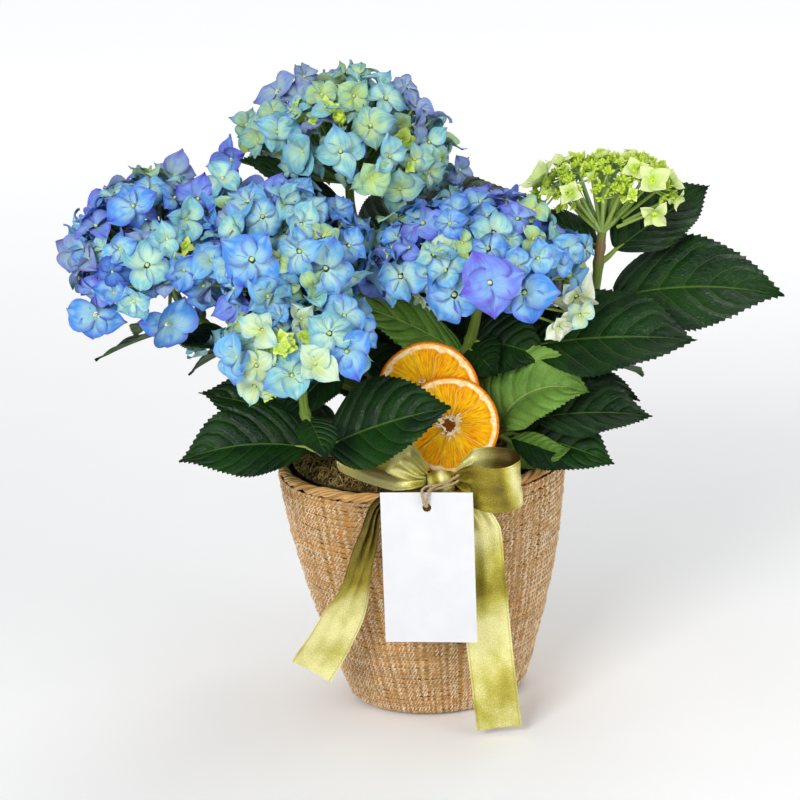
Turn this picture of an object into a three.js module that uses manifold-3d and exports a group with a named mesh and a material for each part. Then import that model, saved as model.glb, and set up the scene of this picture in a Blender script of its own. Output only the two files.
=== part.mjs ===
// A potted hydrangea in a coiled seagrass basket, with a satin bow, two dried orange slices
// and a blank card on a loop of twine.
//
// Millimetres, +Z up. The origin is the middle of the basket's flat underside, and the front is -Y.

import * as THREE from 'three';
import { mergeVertices } from 'three/addons/utils/BufferGeometryUtils.js';
import Module from 'manifold-3d';

const wasm = await Module();
wasm.setup();

// Driving dimensions: the space left between pieces that touch
const GAP = 0.3;

// Driving dimensions: basket and filling
const BASKET_HEIGHT = 143;
const RIM_RADIUS = 82;
const FOOT_RADIUS = 50;
const BASE_RADIUS = 44;
const BELLY = 1.6;
const WALL = 4.5;
const FOOT_ROUND = { inset: 1.2, height: 3 };
const OUTSIDE_HEIGHTS = [8, 22, 42, 66, 92];
const INSIDE_HEIGHTS = [8.5, 22, 66, 100, 133];
const BRAID_HEIGHT = 10;
const BRAID_WIDTH = 9;
const BRAID_PROUD = 0.6;
const BRAID_WAIST = 4.5;
const BRAID_CROWN_INSET = 2.6;
const ROUND_SIDES = 32;
const MOSS_TOP = 146.5;
const MOSS_SHOULDER = 69.5;
const MOSS_EDGE_DROP = 4;

// Driving dimensions: trunk
const TRUNK_FOOT = [4, 2];
const TRUNK_LEAN = [2, 3];
const TRUNK_HEIGHT = 27;
const TRUNK_RADIUS = 6;
const TRUNK_TAPER = 0.15;
const ROOT_FLARE = 5;
const STUB = 13;
const LIMB_SIDES = 5;

// Driving dimensions: shoots, leaves and florets
const BOUGH_RADIUS = 3.8;
const PEDUNCLE_RADIUS = 2.4;
const LEAF_THICKNESS = 1.5;
const LEAF_WIDTH_SHARE = 0.66;
const BLADE_SHARES = [0.14, 0.32, 0.52, 0.72, 0.89];
const LEAF_FOLD = 16;
const PETIOLE_RADIUS = 1.5;
const STEM_SEAT = 2.5;
const FLORET_RADIUS = 13.5;
const FLORET_VARIATION = 0.2;
const FLORET_THICKNESS = 2.6;
const FLORET_TILT = 0.4;
const FLORET_DEPTH = { least: 0.6, usual: 0.9, variation: 0.06, step: 0.08 };
const LOWEST_FLORET = 112;
const SEPAL_DROOP_SHARE = 0.12;
const NOTCH_SHARE = 0.66;
const NOTCH_LIFT = 0.8;
const PEDICEL_RADIUS = 1.3;
const CORE_SHARE = 0.56;
const CLEARANCE = 0.8;
const SPACE_MARGIN = 0.02;

// Driving dimensions: dried orange slices
const SLICE_RADIUS = 27.2;
const BACK_SLICE_RADIUS = 28.4;
const SLICE_THICKNESS = 5;
const SLICE_ROUND = { inset: 1.4, height: 0.8 };
const SLICE_SIDES = 24;
const SLICE_LEAN = 19;
const FRONT_SLICE_FOOT = [16, -57.5];
const BACK_SLICE_SHIFT = { side: -10, up: 19 };

// Driving dimensions: bow, card and twine
const RIBBON_WIDTH = 25;
const RIBBON_THICKNESS = 1;
const KNOT_SIZE = [9, 5.2, 7.6];
const KNOT_PLACE = [9, -83];
const KNOT_RISE = 5.8;
const CARD_WIDTH = 50;
const CARD_HEIGHT = 85;
const CARD_THICKNESS = 0.6;
const CARD_HOLE = 2.4;
const HOLE_DROP = 8.5;
const TWINE_RADIUS = 0.8;

const degrees = THREE.MathUtils.degToRad;
const vector = (numbers) => new THREE.Vector3(...numbers);
const UP = new THREE.Vector3(0, 0, 1);

// Solids: a closed three.js geometry becomes a solid and comes back as a geometry

function signedVolume(geometry) {
  const at = geometry.getAttribute('position');
  const index = geometry.getIndex();
  const [a, b, c] = [new THREE.Vector3(), new THREE.Vector3(), new THREE.Vector3()];
  let volume = 0;
  for (let i = 0; i < index.count; i += 3) {
    a.fromBufferAttribute(at, index.getX(i));
    b.fromBufferAttribute(at, index.getX(i + 1));
    c.fromBufferAttribute(at, index.getX(i + 2));
    volume += a.dot(b.cross(c)) / 6;
  }
  return volume;
}

function welded(geometry) {
  const bare = geometry.clone();
  bare.deleteAttribute('normal');
  bare.deleteAttribute('uv');
  const merged = mergeVertices(bare, 1e-4);
  const index = merged.getIndex().array;
  const kept = [];
  for (let i = 0; i < index.length; i += 3) {
    const [a, b, c] = [index[i], index[i + 1], index[i + 2]];
    if (a !== b && b !== c && c !== a) kept.push(a, b, c);
  }
  merged.setIndex(kept);
  if (signedVolume(merged) < 0) merged.setIndex(kept.slice().reverse());
  return merged;
}

function solidOf(geometry) {
  const merged = welded(geometry);
  const vertProperties = new Float32Array(merged.getAttribute('position').array);
  const triVerts = new Uint32Array(merged.getIndex().array);
  return new wasm.Manifold(new wasm.Mesh({ numProp: 3, vertProperties, triVerts }));
}

function geometryOf(solid) {
  const mesh = solid.getMesh();
  const geometry = new THREE.BufferGeometry();
  geometry.setAttribute('position', new THREE.BufferAttribute(mesh.vertProperties, 3));
  geometry.setIndex(new THREE.BufferAttribute(mesh.triVerts, 1));
  return geometry;
}

// Fuses many solids. Loose scraps and sealed hollows are shells of their own: only the largest is kept.
function fused(solids) {
  const whole = wasm.Manifold.union(solids);
  const shells = whole.decompose();
  return shells.reduce((best, shell) => (shell.volume() > best.volume() ? shell : best));
}

// Shared shapes

// A stretch of a longer route, measured by length from share `from` to share `to`.
class Stretch extends THREE.Curve {
  constructor(route, from, to) {
    super();
    this.route = route;
    this.from = from;
    this.to = to;
  }

  getPoint(t, target = new THREE.Vector3()) {
    const share = THREE.MathUtils.lerp(this.from, this.to, t);
    return this.route.getPointAt(THREE.MathUtils.clamp(share, 0, 1), target);
  }
}

// A round or three-sided limb along a curve, whose radius is a function of the share along it.
function limb(curve, radiusAt, sides, steps) {
  const geometry = new THREE.CylinderGeometry(1, 1, 1, sides, steps);
  const frames = curve.computeFrenetFrames(steps, false);
  const at = geometry.getAttribute('position');
  for (let i = 0; i < at.count; i += 1) {
    const ring = Math.round((at.getY(i) + 0.5) * steps);
    const radius = radiusAt(ring / steps);
    const point = curve.getPointAt(ring / steps);
    point.addScaledVector(frames.normals[ring], at.getX(i) * radius);
    point.addScaledVector(frames.binormals[ring], at.getZ(i) * radius);
    at.setXYZ(i, point.x, point.y, point.z);
  }
  return geometry;
}

// A solid of revolution about +Z from [radius, height] pairs.
function turned(profile, sides) {
  const points = profile.map(([radius, height]) => new THREE.Vector2(radius, height));
  return new THREE.LatheGeometry(points, sides).rotateX(degrees(90));
}

// The same numbers on every machine: a small linear congruential generator
function seeded(seed) {
  let state = seed >>> 0;
  return () => {
    state = (Math.imul(state, 1664525) + 1013904223) >>> 0;
    return state / 4294967296;
  };
}

// Basket: a coiled wall with a rounded foot, and a braid sewn along its edge

function wallRadius(height) {
  return RIM_RADIUS - (RIM_RADIUS - FOOT_RADIUS) * (1 - height / BASKET_HEIGHT) ** BELLY;
}

// The inside of the wall is straight between a few heights, and the filling follows it.
function insideRadius(height) {
  const next = INSIDE_HEIGHTS.findIndex((level) => level >= height);
  const [low, high] = next < 1 ? INSIDE_HEIGHTS : INSIDE_HEIGHTS.slice(next - 1, next + 1);
  return THREE.MathUtils.mapLinear(height, low, high, wallRadius(low), wallRadius(high)) - WALL;
}

function basketShell() {
  const top = BASKET_HEIGHT - BRAID_HEIGHT;
  const outside = [...OUTSIDE_HEIGHTS, top].map((height) => [wallRadius(height), height]);
  const inside = INSIDE_HEIGHTS.toReversed().map((height) => [insideRadius(height), height]);
  const foot = [[0, 0], [BASE_RADIUS, 0], [wallRadius(0) - FOOT_ROUND.inset, FOOT_ROUND.height]];
  return turned([...foot, ...outside, ...inside, [BASE_RADIUS, WALL], [0, WALL]], ROUND_SIDES);
}

function rimBraid() {
  const low = BASKET_HEIGHT - BRAID_HEIGHT + GAP;
  const waist = low + BRAID_WAIST;
  const outer = RIM_RADIUS + BRAID_PROUD;
  const inner = outer - BRAID_WIDTH;
  const profile = [
    [inner + BRAID_PROUD, low],
    [outer - BRAID_PROUD, low],
    [outer, waist],
    [outer - BRAID_CROWN_INSET, BASKET_HEIGHT],
    [inner + BRAID_CROWN_INSET, BASKET_HEIGHT],
    [inner, waist],
    [inner + BRAID_PROUD, low],
  ];
  return turned(profile, ROUND_SIDES);
}

// Compost and moss fill the basket, so the bed is one plug with a flat crown for the trunk to stand on.
function mossBed() {
  const slack = GAP * 1.4;
  const inBraid = RIM_RADIUS + BRAID_PROUD - BRAID_WIDTH - GAP - slack;
  const braidFoot = BASKET_HEIGHT - BRAID_HEIGHT;
  const levels = [...INSIDE_HEIGHTS.slice(0, -1), braidFoot - MOSS_EDGE_DROP];
  const side = levels.map((height) => [insideRadius(height) - slack, height]);
  const low = WALL + GAP;
  return turned([
    [0, low],
    [BASE_RADIUS - GAP * 2, low],
    ...side,
    [inBraid, braidFoot],
    [inBraid, BASKET_HEIGHT - MOSS_EDGE_DROP],
    [MOSS_SHOULDER, MOSS_TOP],
    [0, MOSS_TOP],
  ], ROUND_SIDES);
}

// Leaves: a blade with a midrib, folded a little along it and bent down towards its tip.
// `turn` is the compass direction, `rise` the slope at the stalk, `droop` the whole bend and `roll` the
// turn about the leaf's own length, all in degrees. Lengths are in millimetres.

const leaf = (at, turn, rise, stalk, length, droop, roll, fold = LEAF_FOLD, wide = LEAF_WIDTH_SHARE) => (
  { at, turn, rise, stalk, length, droop, roll, fold, wide }
);

function leafAxes(spec) {
  const heading = new THREE.Vector3(Math.cos(degrees(spec.turn)), Math.sin(degrees(spec.turn)), 0);
  const across = new THREE.Vector3(-heading.y, heading.x, 0);
  return { heading, across };
}

function leafDirection(spec, slope) {
  const { heading } = leafAxes(spec);
  return heading.multiplyScalar(Math.cos(slope)).addScaledVector(UP, Math.sin(slope));
}

// The midrib is an arc: its slope falls evenly from `rise` by `droop` over the leaf's length.
function midribPoint(spec, root, t) {
  const { heading } = leafAxes(spec);
  const start = degrees(spec.rise);
  const bend = degrees(spec.droop);
  const forward = (Math.sin(start) - Math.sin(start - bend * t)) / bend;
  const upward = (Math.cos(start - bend * t) - Math.cos(start)) / bend;
  return root.clone()
    .addScaledVector(heading, forward * spec.length)
    .addScaledVector(UP, upward * spec.length);
}

const bladeShape = (t) => Math.sin(Math.PI * t ** 0.8) ** 0.8;

// The stations of a leaf: in the middle of the stem, at its surface, at the blade's root, along the blade
// and at its tip. `extra` makes the leaf thicker all round, for testing what it would touch.
function leafStations(spec, node, extra) {
  const start = leafDirection(spec, degrees(spec.rise));
  const root = node.clone().addScaledVector(start, spec.stalk);
  const petiole = PETIOLE_RADIUS + extra / 2;
  const stalk = { width: petiole, thickness: petiole, fold: 0, slope: spec.rise };
  const halfWidth = (spec.length * spec.wide) / 2;
  const blade = BLADE_SHARES.map((t) => ({
    point: midribPoint(spec, root, t),
    width: halfWidth * bladeShape(t) + extra / 2,
    thickness: (LEAF_THICKNESS + extra) / 2,
    fold: spec.fold,
    slope: spec.rise - spec.droop * t,
  }));
  const end = { width: 0, thickness: 0, fold: 0, slope: spec.rise - spec.droop };
  return [
    { point: node, ...end, slope: spec.rise },
    { point: node.clone().addScaledVector(start, STEM_SEAT), ...stalk },
    { point: root, ...stalk },
    ...blade,
    { point: midribPoint(spec, root, 1), ...end },
  ];
}

// Each station is a diamond: the left edge, the upper face, the right edge and the lower face.
function leafSolid(spec, node, extra = 0) {
  const stations = leafStations(spec, node, extra);
  const columns = 4;
  const geometry = new THREE.SphereGeometry(1, columns, stations.length - 1);
  const { across } = leafAxes(spec);
  const at = geometry.getAttribute('position');
  for (let i = 0; i < at.count; i += 1) {
    const station = stations[Math.floor(i / (columns + 1))];
    const turn = ((i % (columns + 1)) / columns) * Math.PI * 2;
    const along = leafDirection(spec, degrees(station.slope));
    const edge = across.clone().applyAxisAngle(along, degrees(spec.roll));
    const lift = along.clone().cross(across).applyAxisAngle(along, degrees(spec.roll));
    const side = Math.cos(turn) * station.width;
    const fold = degrees(station.fold);
    const point = station.point.clone();
    point.addScaledVector(edge, side * Math.cos(fold));
    point.addScaledVector(lift, Math.abs(side) * Math.sin(fold) + Math.sin(turn) * station.thickness);
    at.setXYZ(i, point.x, point.y, point.z);
  }
  return solidOf(geometry);
}

// Flower heads: florets on three-sided pedicels stand out of a small core, in a spiral over the dome

// How far out a point lies in a head's space: below 1 is inside.
function depthIn(head, point) {
  const [rx, ry, up, down] = head.reach;
  const offset = point.clone().sub(vector(head.centre));
  return Math.hypot(offset.x / rx, offset.y / ry, offset.z / (offset.z > 0 ? up : down));
}

function domePoint(head, polar, turn, share) {
  const [rx, ry, up, down] = head.reach;
  const height = Math.cos(polar);
  const flat = Math.sin(polar);
  return vector(head.centre).add(new THREE.Vector3(
    Math.cos(turn) * flat * rx * share,
    Math.sin(turn) * flat * ry * share,
    height * (height > 0 ? up : down) * share,
  ));
}

function headCore(head) {
  const geometry = new THREE.SphereGeometry(1, 8, 5).rotateX(degrees(90));
  const at = geometry.getAttribute('position');
  const [rx, ry, up, down] = head.reach;
  const share = head.core ?? CORE_SHARE;
  for (let i = 0; i < at.count; i += 1) {
    const z = at.getZ(i);
    at.setXYZ(
      i,
      head.centre[0] + at.getX(i) * rx * share,
      head.centre[1] + at.getY(i) * ry * share,
      head.centre[2] + z * (z > 0 ? up : down) * share,
    );
  }
  return geometry;
}

const GOLDEN_ANGLE = Math.PI * (3 - Math.sqrt(5));

function floretPlaces(head) {
  const random = seeded(head.seed);
  const places = [];
  const lowest = degrees(head.lowest ?? LOWEST_FLORET);
  for (let k = 0; k < head.florets; k += 1) {
    const height = 1 - ((k + 0.5) / head.florets) * (1 - Math.cos(lowest));
    const polar = Math.acos(height);
    const turn = k * GOLDEN_ANGLE + head.seed;
    const size = 1 + FLORET_VARIATION * (random() - 0.5);
    const radius = (head.floretRadius ?? FLORET_RADIUS) * size;
    const out = FLORET_DEPTH.usual + FLORET_DEPTH.variation * random();
    const tilt = [random() - 0.5, random() - 0.5, random() - 0.5];
    places.push({ polar, turn, radius, out, tilt, spin: random() * Math.PI });
  }
  return places;
}

// Four pointed sepals, whose eight rim points are tips and notches in turn, on a three-sided pedicel that
// runs down to the middle of the head, inside its core.
function floretSolid(head, place, extra = 0) {
  const columns = 8;
  const sides = 3;
  const geometry = new THREE.SphereGeometry(1, columns, 3);
  const heart = vector(head.centre);
  const centre = domePoint(head, place.polar, place.turn, place.out);
  const normal = centre.clone().sub(heart).normalize();
  normal.addScaledVector(vector(place.tilt), FLORET_TILT).normalize();
  const facing = new THREE.Quaternion().setFromUnitVectors(UP, normal);
  const thickness = (FLORET_THICKNESS + extra) / 2;
  const neck = PEDICEL_RADIUS + extra / 2;
  const ring = (share, radius, height) => {
    const turn = share * Math.PI * 2 + place.spin;
    return new THREE.Vector3(Math.cos(turn) * radius, Math.sin(turn) * radius, height)
      .applyQuaternion(facing)
      .add(centre);
  };
  const rim = (column) => {
    const tip = column % 2 === 0;
    const radius = place.radius * (tip ? 1 : NOTCH_SHARE) + extra;
    return ring(column / columns, radius, tip ? -place.radius * SEPAL_DROOP_SHARE : NOTCH_LIFT);
  };
  const rows = [
    () => ring(0, 0, thickness),
    rim,
    (column) => ring(Math.floor((column * sides) / columns) / sides, neck, -thickness),
    () => heart,
  ];
  const at = geometry.getAttribute('position');
  for (let i = 0; i < at.count; i += 1) {
    const row = Math.floor(i / (columns + 1));
    const column = i % (columns + 1) % columns;
    const point = rows[row](column);
    at.setXYZ(i, point.x, point.y, point.z);
  }
  return geometry;
}

function insideOwnSpace(head, heads, geometry) {
  const at = geometry.getAttribute('position');
  const point = new THREE.Vector3();
  for (let i = 0; i < at.count; i += 1) {
    point.fromBufferAttribute(at, i);
    const least = depthIn(head, point) + SPACE_MARGIN;
    if (heads.some((other) => other !== head && depthIn(other, point) < least)) return false;
  }
  return true;
}

// Shoots. Each leaves the trunk by a stub and is a bough up to share `bare` of its route, then the stem
// of a mass of leaves up to share `leafy`, then the stalk of its flower head. A shoot with no head ends
// in leaves.

const SHOOTS = [
  {
    name: 'front',
    route: [
      [4, 2, 156], [-8, -16, 158], [-30, -40, 160], [-54, -62, 166], [-61, -76, 190], [-61, -82, 216],
    ],
    bare: 0.52,
    leafy: 0.83,
    leaves: [
      leaf(0.6, -177, 16, 9, 72, 34, -42, 20),
      leaf(0.62, -15, 30, 8, 77, 16, 48, 18),
      leaf(0.76, -72, -28, 6, 34, 30, 0, 8),
    ],
    head: { centre: [-61, -84, 230], reach: [45, 34, 28, 28], florets: 15, seed: 4 },
  },
  {
    name: 'right',
    route: [[5, 3, 170], [16, -4, 182], [28, -12, 200], [36, -22, 225], [38, -30, 248]],
    bare: 0.36,
    leafy: 0.66,
    leaves: [
      leaf(0.45, -158, 44, 6, 86, 20, -6, 12, 0.5),
      leaf(0.42, -17, 20, 34, 92, 22, 34, 14),
      leaf(0.5, 23, 30, 10, 50, 40, 10),
      leaf(0.56, 62, 34, 10, 60, 36, 0),
    ],
    head: { centre: [38, -30, 259], reach: [67, 55, 38, 36], florets: 26, seed: 9 },
  },
  {
    name: 'bud',
    route: [[5, 3, 166], [30, 4, 176], [76, 5, 196], [102, 6, 222], [109, 9, 250], [113, 10, 276]],
    bare: 0.5,
    leafy: 0.86,
    leaves: [
      leaf(0.66, -12, 10, 14, 97, 28, 40, 10),
      leaf(0.7, 165, 26, 12, 66, 40, 0),
      leaf(0.8, 20, 29, 12, 68, 8, 34),
      leaf(0.81, 168, 32, 10, 56, 10, -24),
      leaf(0.57, 72, 12, 16, 84, 56, 0),
      leaf(0.62, 128, 20, 12, 64, 44, 0),
    ],
    head: {
      centre: [114, 10, 284],
      reach: [44, 38, 21, 15],
      florets: 14,
      seed: 12,
      floretRadius: 11,
      core: 0.6,
      lowest: 100,
    },
  },
  {
    name: 'top',
    route: [[5, 4, 172], [0, 9, 186], [-10, 15, 212], [-22, 22, 252], [-29, 25, 280], [-29, 25, 300]],
    bare: 0.52,
    leafy: 0.8,
    leaves: [
      leaf(0.73, -150, 32, 8, 80, 6, -30, 10, 0.5),
      leaf(0.7, 21, 14, 30, 78, 20, 24),
      leaf(0.62, 100, 22, 16, 86, 52, 0),
      leaf(0.58, 170, 30, 12, 66, 30, 0),
      leaf(0.66, 56, 36, 10, 60, 30, 0),
    ],
    head: { centre: [-29, 25, 308], reach: [64, 60, 55, 30], florets: 30, seed: 2 },
  },
  {
    name: 'left_inner',
    route: [[4, 2, 168], [-8, -4, 178], [-30, -18, 200], [-50, -32, 228], [-64, -42, 256]],
    bare: 0.5,
    leafy: 0.72,
    leaves: [
      leaf(0.58, -170, 36, 14, 62, 22, -26),
      leaf(0.6, 110, 20, 12, 74, 40, 0),
      leaf(0.66, -70, 18, 12, 40, 20, 0),
      leaf(0.64, 152, 30, 10, 54, 24, 0),
    ],
    head: { centre: [-68, -42, 268], reach: [52, 50, 46, 38], florets: 24, seed: 6 },
  },
  {
    name: 'left_outer',
    route: [[4, 2, 162], [-12, 4, 170], [-48, 6, 188], [-96, -2, 212], [-126, -12, 240], [-133, -16, 260]],
    bare: 0.46,
    leafy: 0.8,
    leaves: [
      leaf(0.7, -166, -4, 18, 56, 26, -20),
      leaf(0.6, 118, 6, 16, 70, 44, 0),
      leaf(0.54, -135, 26, 12, 56, 14, -24),
      leaf(0.74, 150, 10, 16, 70, 44, 0),
    ],
    head: { centre: [-134, -16, 270], reach: [57, 54, 50, 48], florets: 26, seed: 15 },
  },
  {
    name: 'back_left',
    route: [[4, 3, 166], [-6, 14, 174], [-34, 38, 190], [-64, 58, 208], [-78, 66, 228]],
    bare: 0.44,
    leafy: 0.78,
    leaves: [
      leaf(0.56, 168, 14, 14, 84, 52, 0),
      leaf(0.7, 116, 6, 14, 88, 58, 0),
      leaf(0.6, 76, 34, 12, 50, 40, 0),
    ],
    head: { centre: [-80, 70, 240], reach: [49, 48, 38, 34], florets: 18, seed: 21 },
  },
  {
    name: 'back_right',
    route: [[5, 3, 168], [12, 16, 176], [24, 44, 190], [34, 68, 204], [40, 80, 222]],
    bare: 0.46,
    leafy: 0.78,
    leaves: [
      leaf(0.6, 24, 14, 14, 88, 54, 0),
      leaf(0.58, 128, 18, 14, 80, 56, 0),
      leaf(0.72, 80, 4, 14, 88, 60, 0),
      leaf(0.52, -24, 24, 14, 70, 40, 0),
      leaf(0.66, 150, 26, 10, 60, 40, 0),
    ],
    head: { centre: [40, 84, 232], reach: [50, 48, 38, 34], florets: 18, seed: 27 },
  },
  {
    name: 'low_right',
    route: [[4, 2, 158], [16, -10, 160], [34, -26, 160], [47, -38, 164], [54, -42, 176]],
    bare: 0.5,
    leafy: 1,
    leaves: [
      leaf(0.9, -26, 44, 6, 62, 44, 52, 10),
      leaf(0.64, -27, 8, 14, 60, 28, 40, 18),
      leaf(0.86, -8, 8, 22, 72, 18, 30, 18),
      leaf(0.72, -30, 30, 10, 36, 20, 30, 22),
    ],
  },
  {
    name: 'low_back_right',
    route: [[4, 2, 160], [20, 8, 164], [46, 18, 164], [64, 22, 168]],
    bare: 0.42,
    leafy: 1,
    leaves: [
      leaf(0.7, 8, 22, 24, 60, 14, 30),
      leaf(0.66, 46, -4, 14, 76, 40, 0),
      leaf(0.96, 30, 18, 12, 78, 54, 0),
      leaf(0.9, -12, 8, 10, 62, 30, 24),
    ],
  },
  {
    name: 'low_left',
    route: [[4, 2, 158], [-12, 0, 161], [-36, -8, 162], [-56, -16, 168]],
    bare: 0.42,
    leafy: 1,
    leaves: [
      leaf(0.9, 180, 22, 10, 66, 8, -34, 18),
      leaf(0.6, 160, 6, 16, 84, 52, 0),
      leaf(0.96, -140, 20, 8, 44, 20, -30),
    ],
  },
  {
    name: 'low_back',
    route: [[4, 3, 158], [0, 16, 161], [-8, 36, 162], [-14, 54, 168]],
    bare: 0.42,
    leafy: 1,
    leaves: [
      leaf(0.66, 136, 6, 16, 82, 50, 0),
      leaf(0.7, 68, 4, 16, 76, 50, 0),
      leaf(0.96, 100, 14, 10, 84, 58, 0),
      leaf(0.84, 22, 18, 10, 66, 44, 0),
      leaf(0.84, 176, 18, 10, 62, 44, 0),
    ],
  },
];

const routeOf = (shoot) => new THREE.CatmullRomCurve3(shoot.route.map(vector), false, 'centripetal');

// A share of the route as thick as a shoot is there: woody at the trunk, green at the head.
const shootRadius = (share) => THREE.MathUtils.lerp(BOUGH_RADIUS, PEDUNCLE_RADIUS, share);

function shootLimb(shoot, from, to, sides, steps) {
  const stretch = new Stretch(routeOf(shoot), from, to);
  return limb(stretch, (t) => shootRadius(THREE.MathUtils.lerp(from, to, t)), sides, steps);
}

const shareOf = (shoot, length) => length / routeOf(shoot).getLength();

// The main stem stands on the moss bed with a flat cut foot, and holds a stub of each shoot.
function mainStem() {
  const foot = new THREE.Vector3(...TRUNK_FOOT, MOSS_TOP + GAP);
  const crown = foot.clone().add(new THREE.Vector3(...TRUNK_LEAN, TRUNK_HEIGHT));
  const radiusAt = (t) => TRUNK_RADIUS * (1 - TRUNK_TAPER * t) + ROOT_FLARE * (1 - t) ** 4;
  const pieces = [solidOf(limb(new THREE.LineCurve3(foot, crown), radiusAt, 9, 4))];
  for (const shoot of SHOOTS) {
    pieces.push(solidOf(shootLimb(shoot, 0, shareOf(shoot, STUB), LIMB_SIDES, 1)));
  }
  const size = TRUNK_HEIGHT * 2;
  const below = new THREE.BoxGeometry(size, size, size).translate(foot.x, foot.y, foot.z - size / 2);
  return fused(pieces).subtract(solidOf(below));
}

// Orange slices: discs with rounded rind edges, leaning back one against the other

function orangeSlice(radius) {
  const half = SLICE_THICKNESS / 2;
  const flat = radius - SLICE_ROUND.inset;
  const { height } = SLICE_ROUND;
  const lower = [[0, -half], [flat, -half], [radius, -height]];
  const upper = [[radius, height], [flat, half], [0, half]];
  return turned([...lower, ...upper], SLICE_SIDES);
}

const SLICE_TILT = degrees(90 - SLICE_LEAN);

// The front slice stands on the moss.
function frontSlicePlace() {
  const rise = SLICE_RADIUS * Math.sin(SLICE_TILT) + SLICE_ROUND.height * Math.cos(SLICE_TILT);
  return new THREE.Vector3(...FRONT_SLICE_FOOT, MOSS_TOP + GAP + rise);
}

// The back slice lies against the front one, higher up its slope.
function backSlicePlace() {
  const facing = new THREE.Vector3(0, -Math.sin(SLICE_TILT), Math.cos(SLICE_TILT));
  const upSlope = new THREE.Vector3(0, Math.cos(SLICE_TILT), Math.sin(SLICE_TILT));
  return frontSlicePlace()
    .addScaledVector(facing, -(SLICE_THICKNESS + GAP))
    .addScaledVector(upSlope, BACK_SLICE_SHIFT.up)
    .add(new THREE.Vector3(BACK_SLICE_SHIFT.side, 0, 0));
}

// Bow: bands of ribbon along a route. The width points along `across`, which turns from its first value
// to its last.

function ribbonBand({ route, acrossFirst, acrossLast, steps, width }) {
  const curve = new THREE.CatmullRomCurve3(route.map(vector), false, 'centripetal');
  const geometry = new THREE.BoxGeometry(1, 1, 1, 1, 1, steps);
  const at = geometry.getAttribute('position');
  for (let i = 0; i < at.count; i += 1) {
    const t = at.getZ(i) + 0.5;
    const tangent = curve.getTangentAt(t);
    const across = vector(acrossFirst).lerp(vector(acrossLast), t);
    across.addScaledVector(tangent, -across.dot(tangent)).normalize();
    const face = tangent.clone().cross(across);
    const point = curve.getPointAt(t);
    point.addScaledVector(across, at.getX(i) * width(t));
    point.addScaledVector(face, at.getY(i) * RIBBON_THICKNESS);
    at.setXYZ(i, point.x, point.y, point.z);
  }
  return geometry;
}

const KNOT = new THREE.Vector3(...KNOT_PLACE, BASKET_HEIGHT + KNOT_RISE);

function knotBody() {
  return new THREE.SphereGeometry(1, 10, 7).rotateX(degrees(90)).scale(...KNOT_SIZE);
}

// The band is gathered where it enters the knot and opens out from there.
const BOW = {
  ribbon_loop_left: {
    route: [
      [0.2, -84, 150.2], [-12, -86, 153], [-28, -84, 153.5], [-41, -78, 157],
      [-36, -72.5, 162], [-20, -74.5, 163], [0, -80.5, 156],
    ],
    acrossFirst: [0.1, -0.2, 0.97],
    acrossLast: [0.2, 0.35, 0.92],
    steps: 12,
    width: (t) => 6 + 12 * Math.sin(Math.PI * t),
  },
  ribbon_loop_right: {
    route: [
      [17.8, -85, 151.4], [24, -92.4, 150.2], [34, -97, 146.5], [46, -95, 146],
      [52, -87, 148], [48, -77.5, 152.5], [36, -75, 155], [18, -80.4, 151.8],
    ],
    acrossFirst: [0, -0.1, 1],
    acrossLast: [0, 0.2, 1],
    steps: 14,
    width: (t) => 9 + 15 * Math.sin(Math.PI * t) ** 0.6,
  },
  ribbon_tail_left: {
    route: [
      [1.8, -86.6, 144.8], [-14, -86.3, 145], [-26, -86, 139], [-33, -86, 126],
      [-39, -85, 106], [-47, -83, 82], [-57, -80, 60], [-70.5, -76, 41],
    ],
    acrossFirst: [0.3, -0.7, 0.6],
    acrossLast: [0.86, -0.1, -0.5],
    steps: 14,
    width: (t) => Math.min(RIBBON_WIDTH, 6 + 32 * t),
  },
  ribbon_tail_right: {
    route: [
      [11, -87, 142.2], [19, -86.3, 136.8], [25.5, -86, 127],
      [28, -86, 90], [29, -85.5, 55], [31.5, -85, 4.6],
    ],
    acrossFirst: [0.8, -0.1, 0.5],
    acrossLast: [1, 0, 0.1],
    steps: 14,
    width: (t) => Math.min(RIBBON_WIDTH, 7 + 90 * t),
  },
};

// Card: a plain rectangle with a hole near its top edge, hanging on a loop of twine

const CARD_HANG = new THREE.Vector3(0.2, -96.6, 139.4);
const CARD_ROLL = degrees(2);
const CARD_YAW = degrees(-8);

// The card's own origin is the middle of its hole, so that it swings from there.
function blankCard() {
  const outline = new THREE.Shape();
  outline.moveTo(-CARD_WIDTH / 2, HOLE_DROP - CARD_HEIGHT);
  outline.lineTo(CARD_WIDTH / 2, HOLE_DROP - CARD_HEIGHT);
  outline.lineTo(CARD_WIDTH / 2, HOLE_DROP);
  outline.lineTo(-CARD_WIDTH / 2, HOLE_DROP);
  outline.closePath();
  const hole = new THREE.Path();
  hole.absarc(0, 0, CARD_HOLE, 0, Math.PI * 2, true);
  outline.holes.push(hole);
  const cut = { depth: CARD_THICKNESS, bevelEnabled: false, curveSegments: 6 };
  return new THREE.ExtrudeGeometry(outline, cut).translate(0, 0, -CARD_THICKNESS / 2).rotateX(degrees(90));
}

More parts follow.
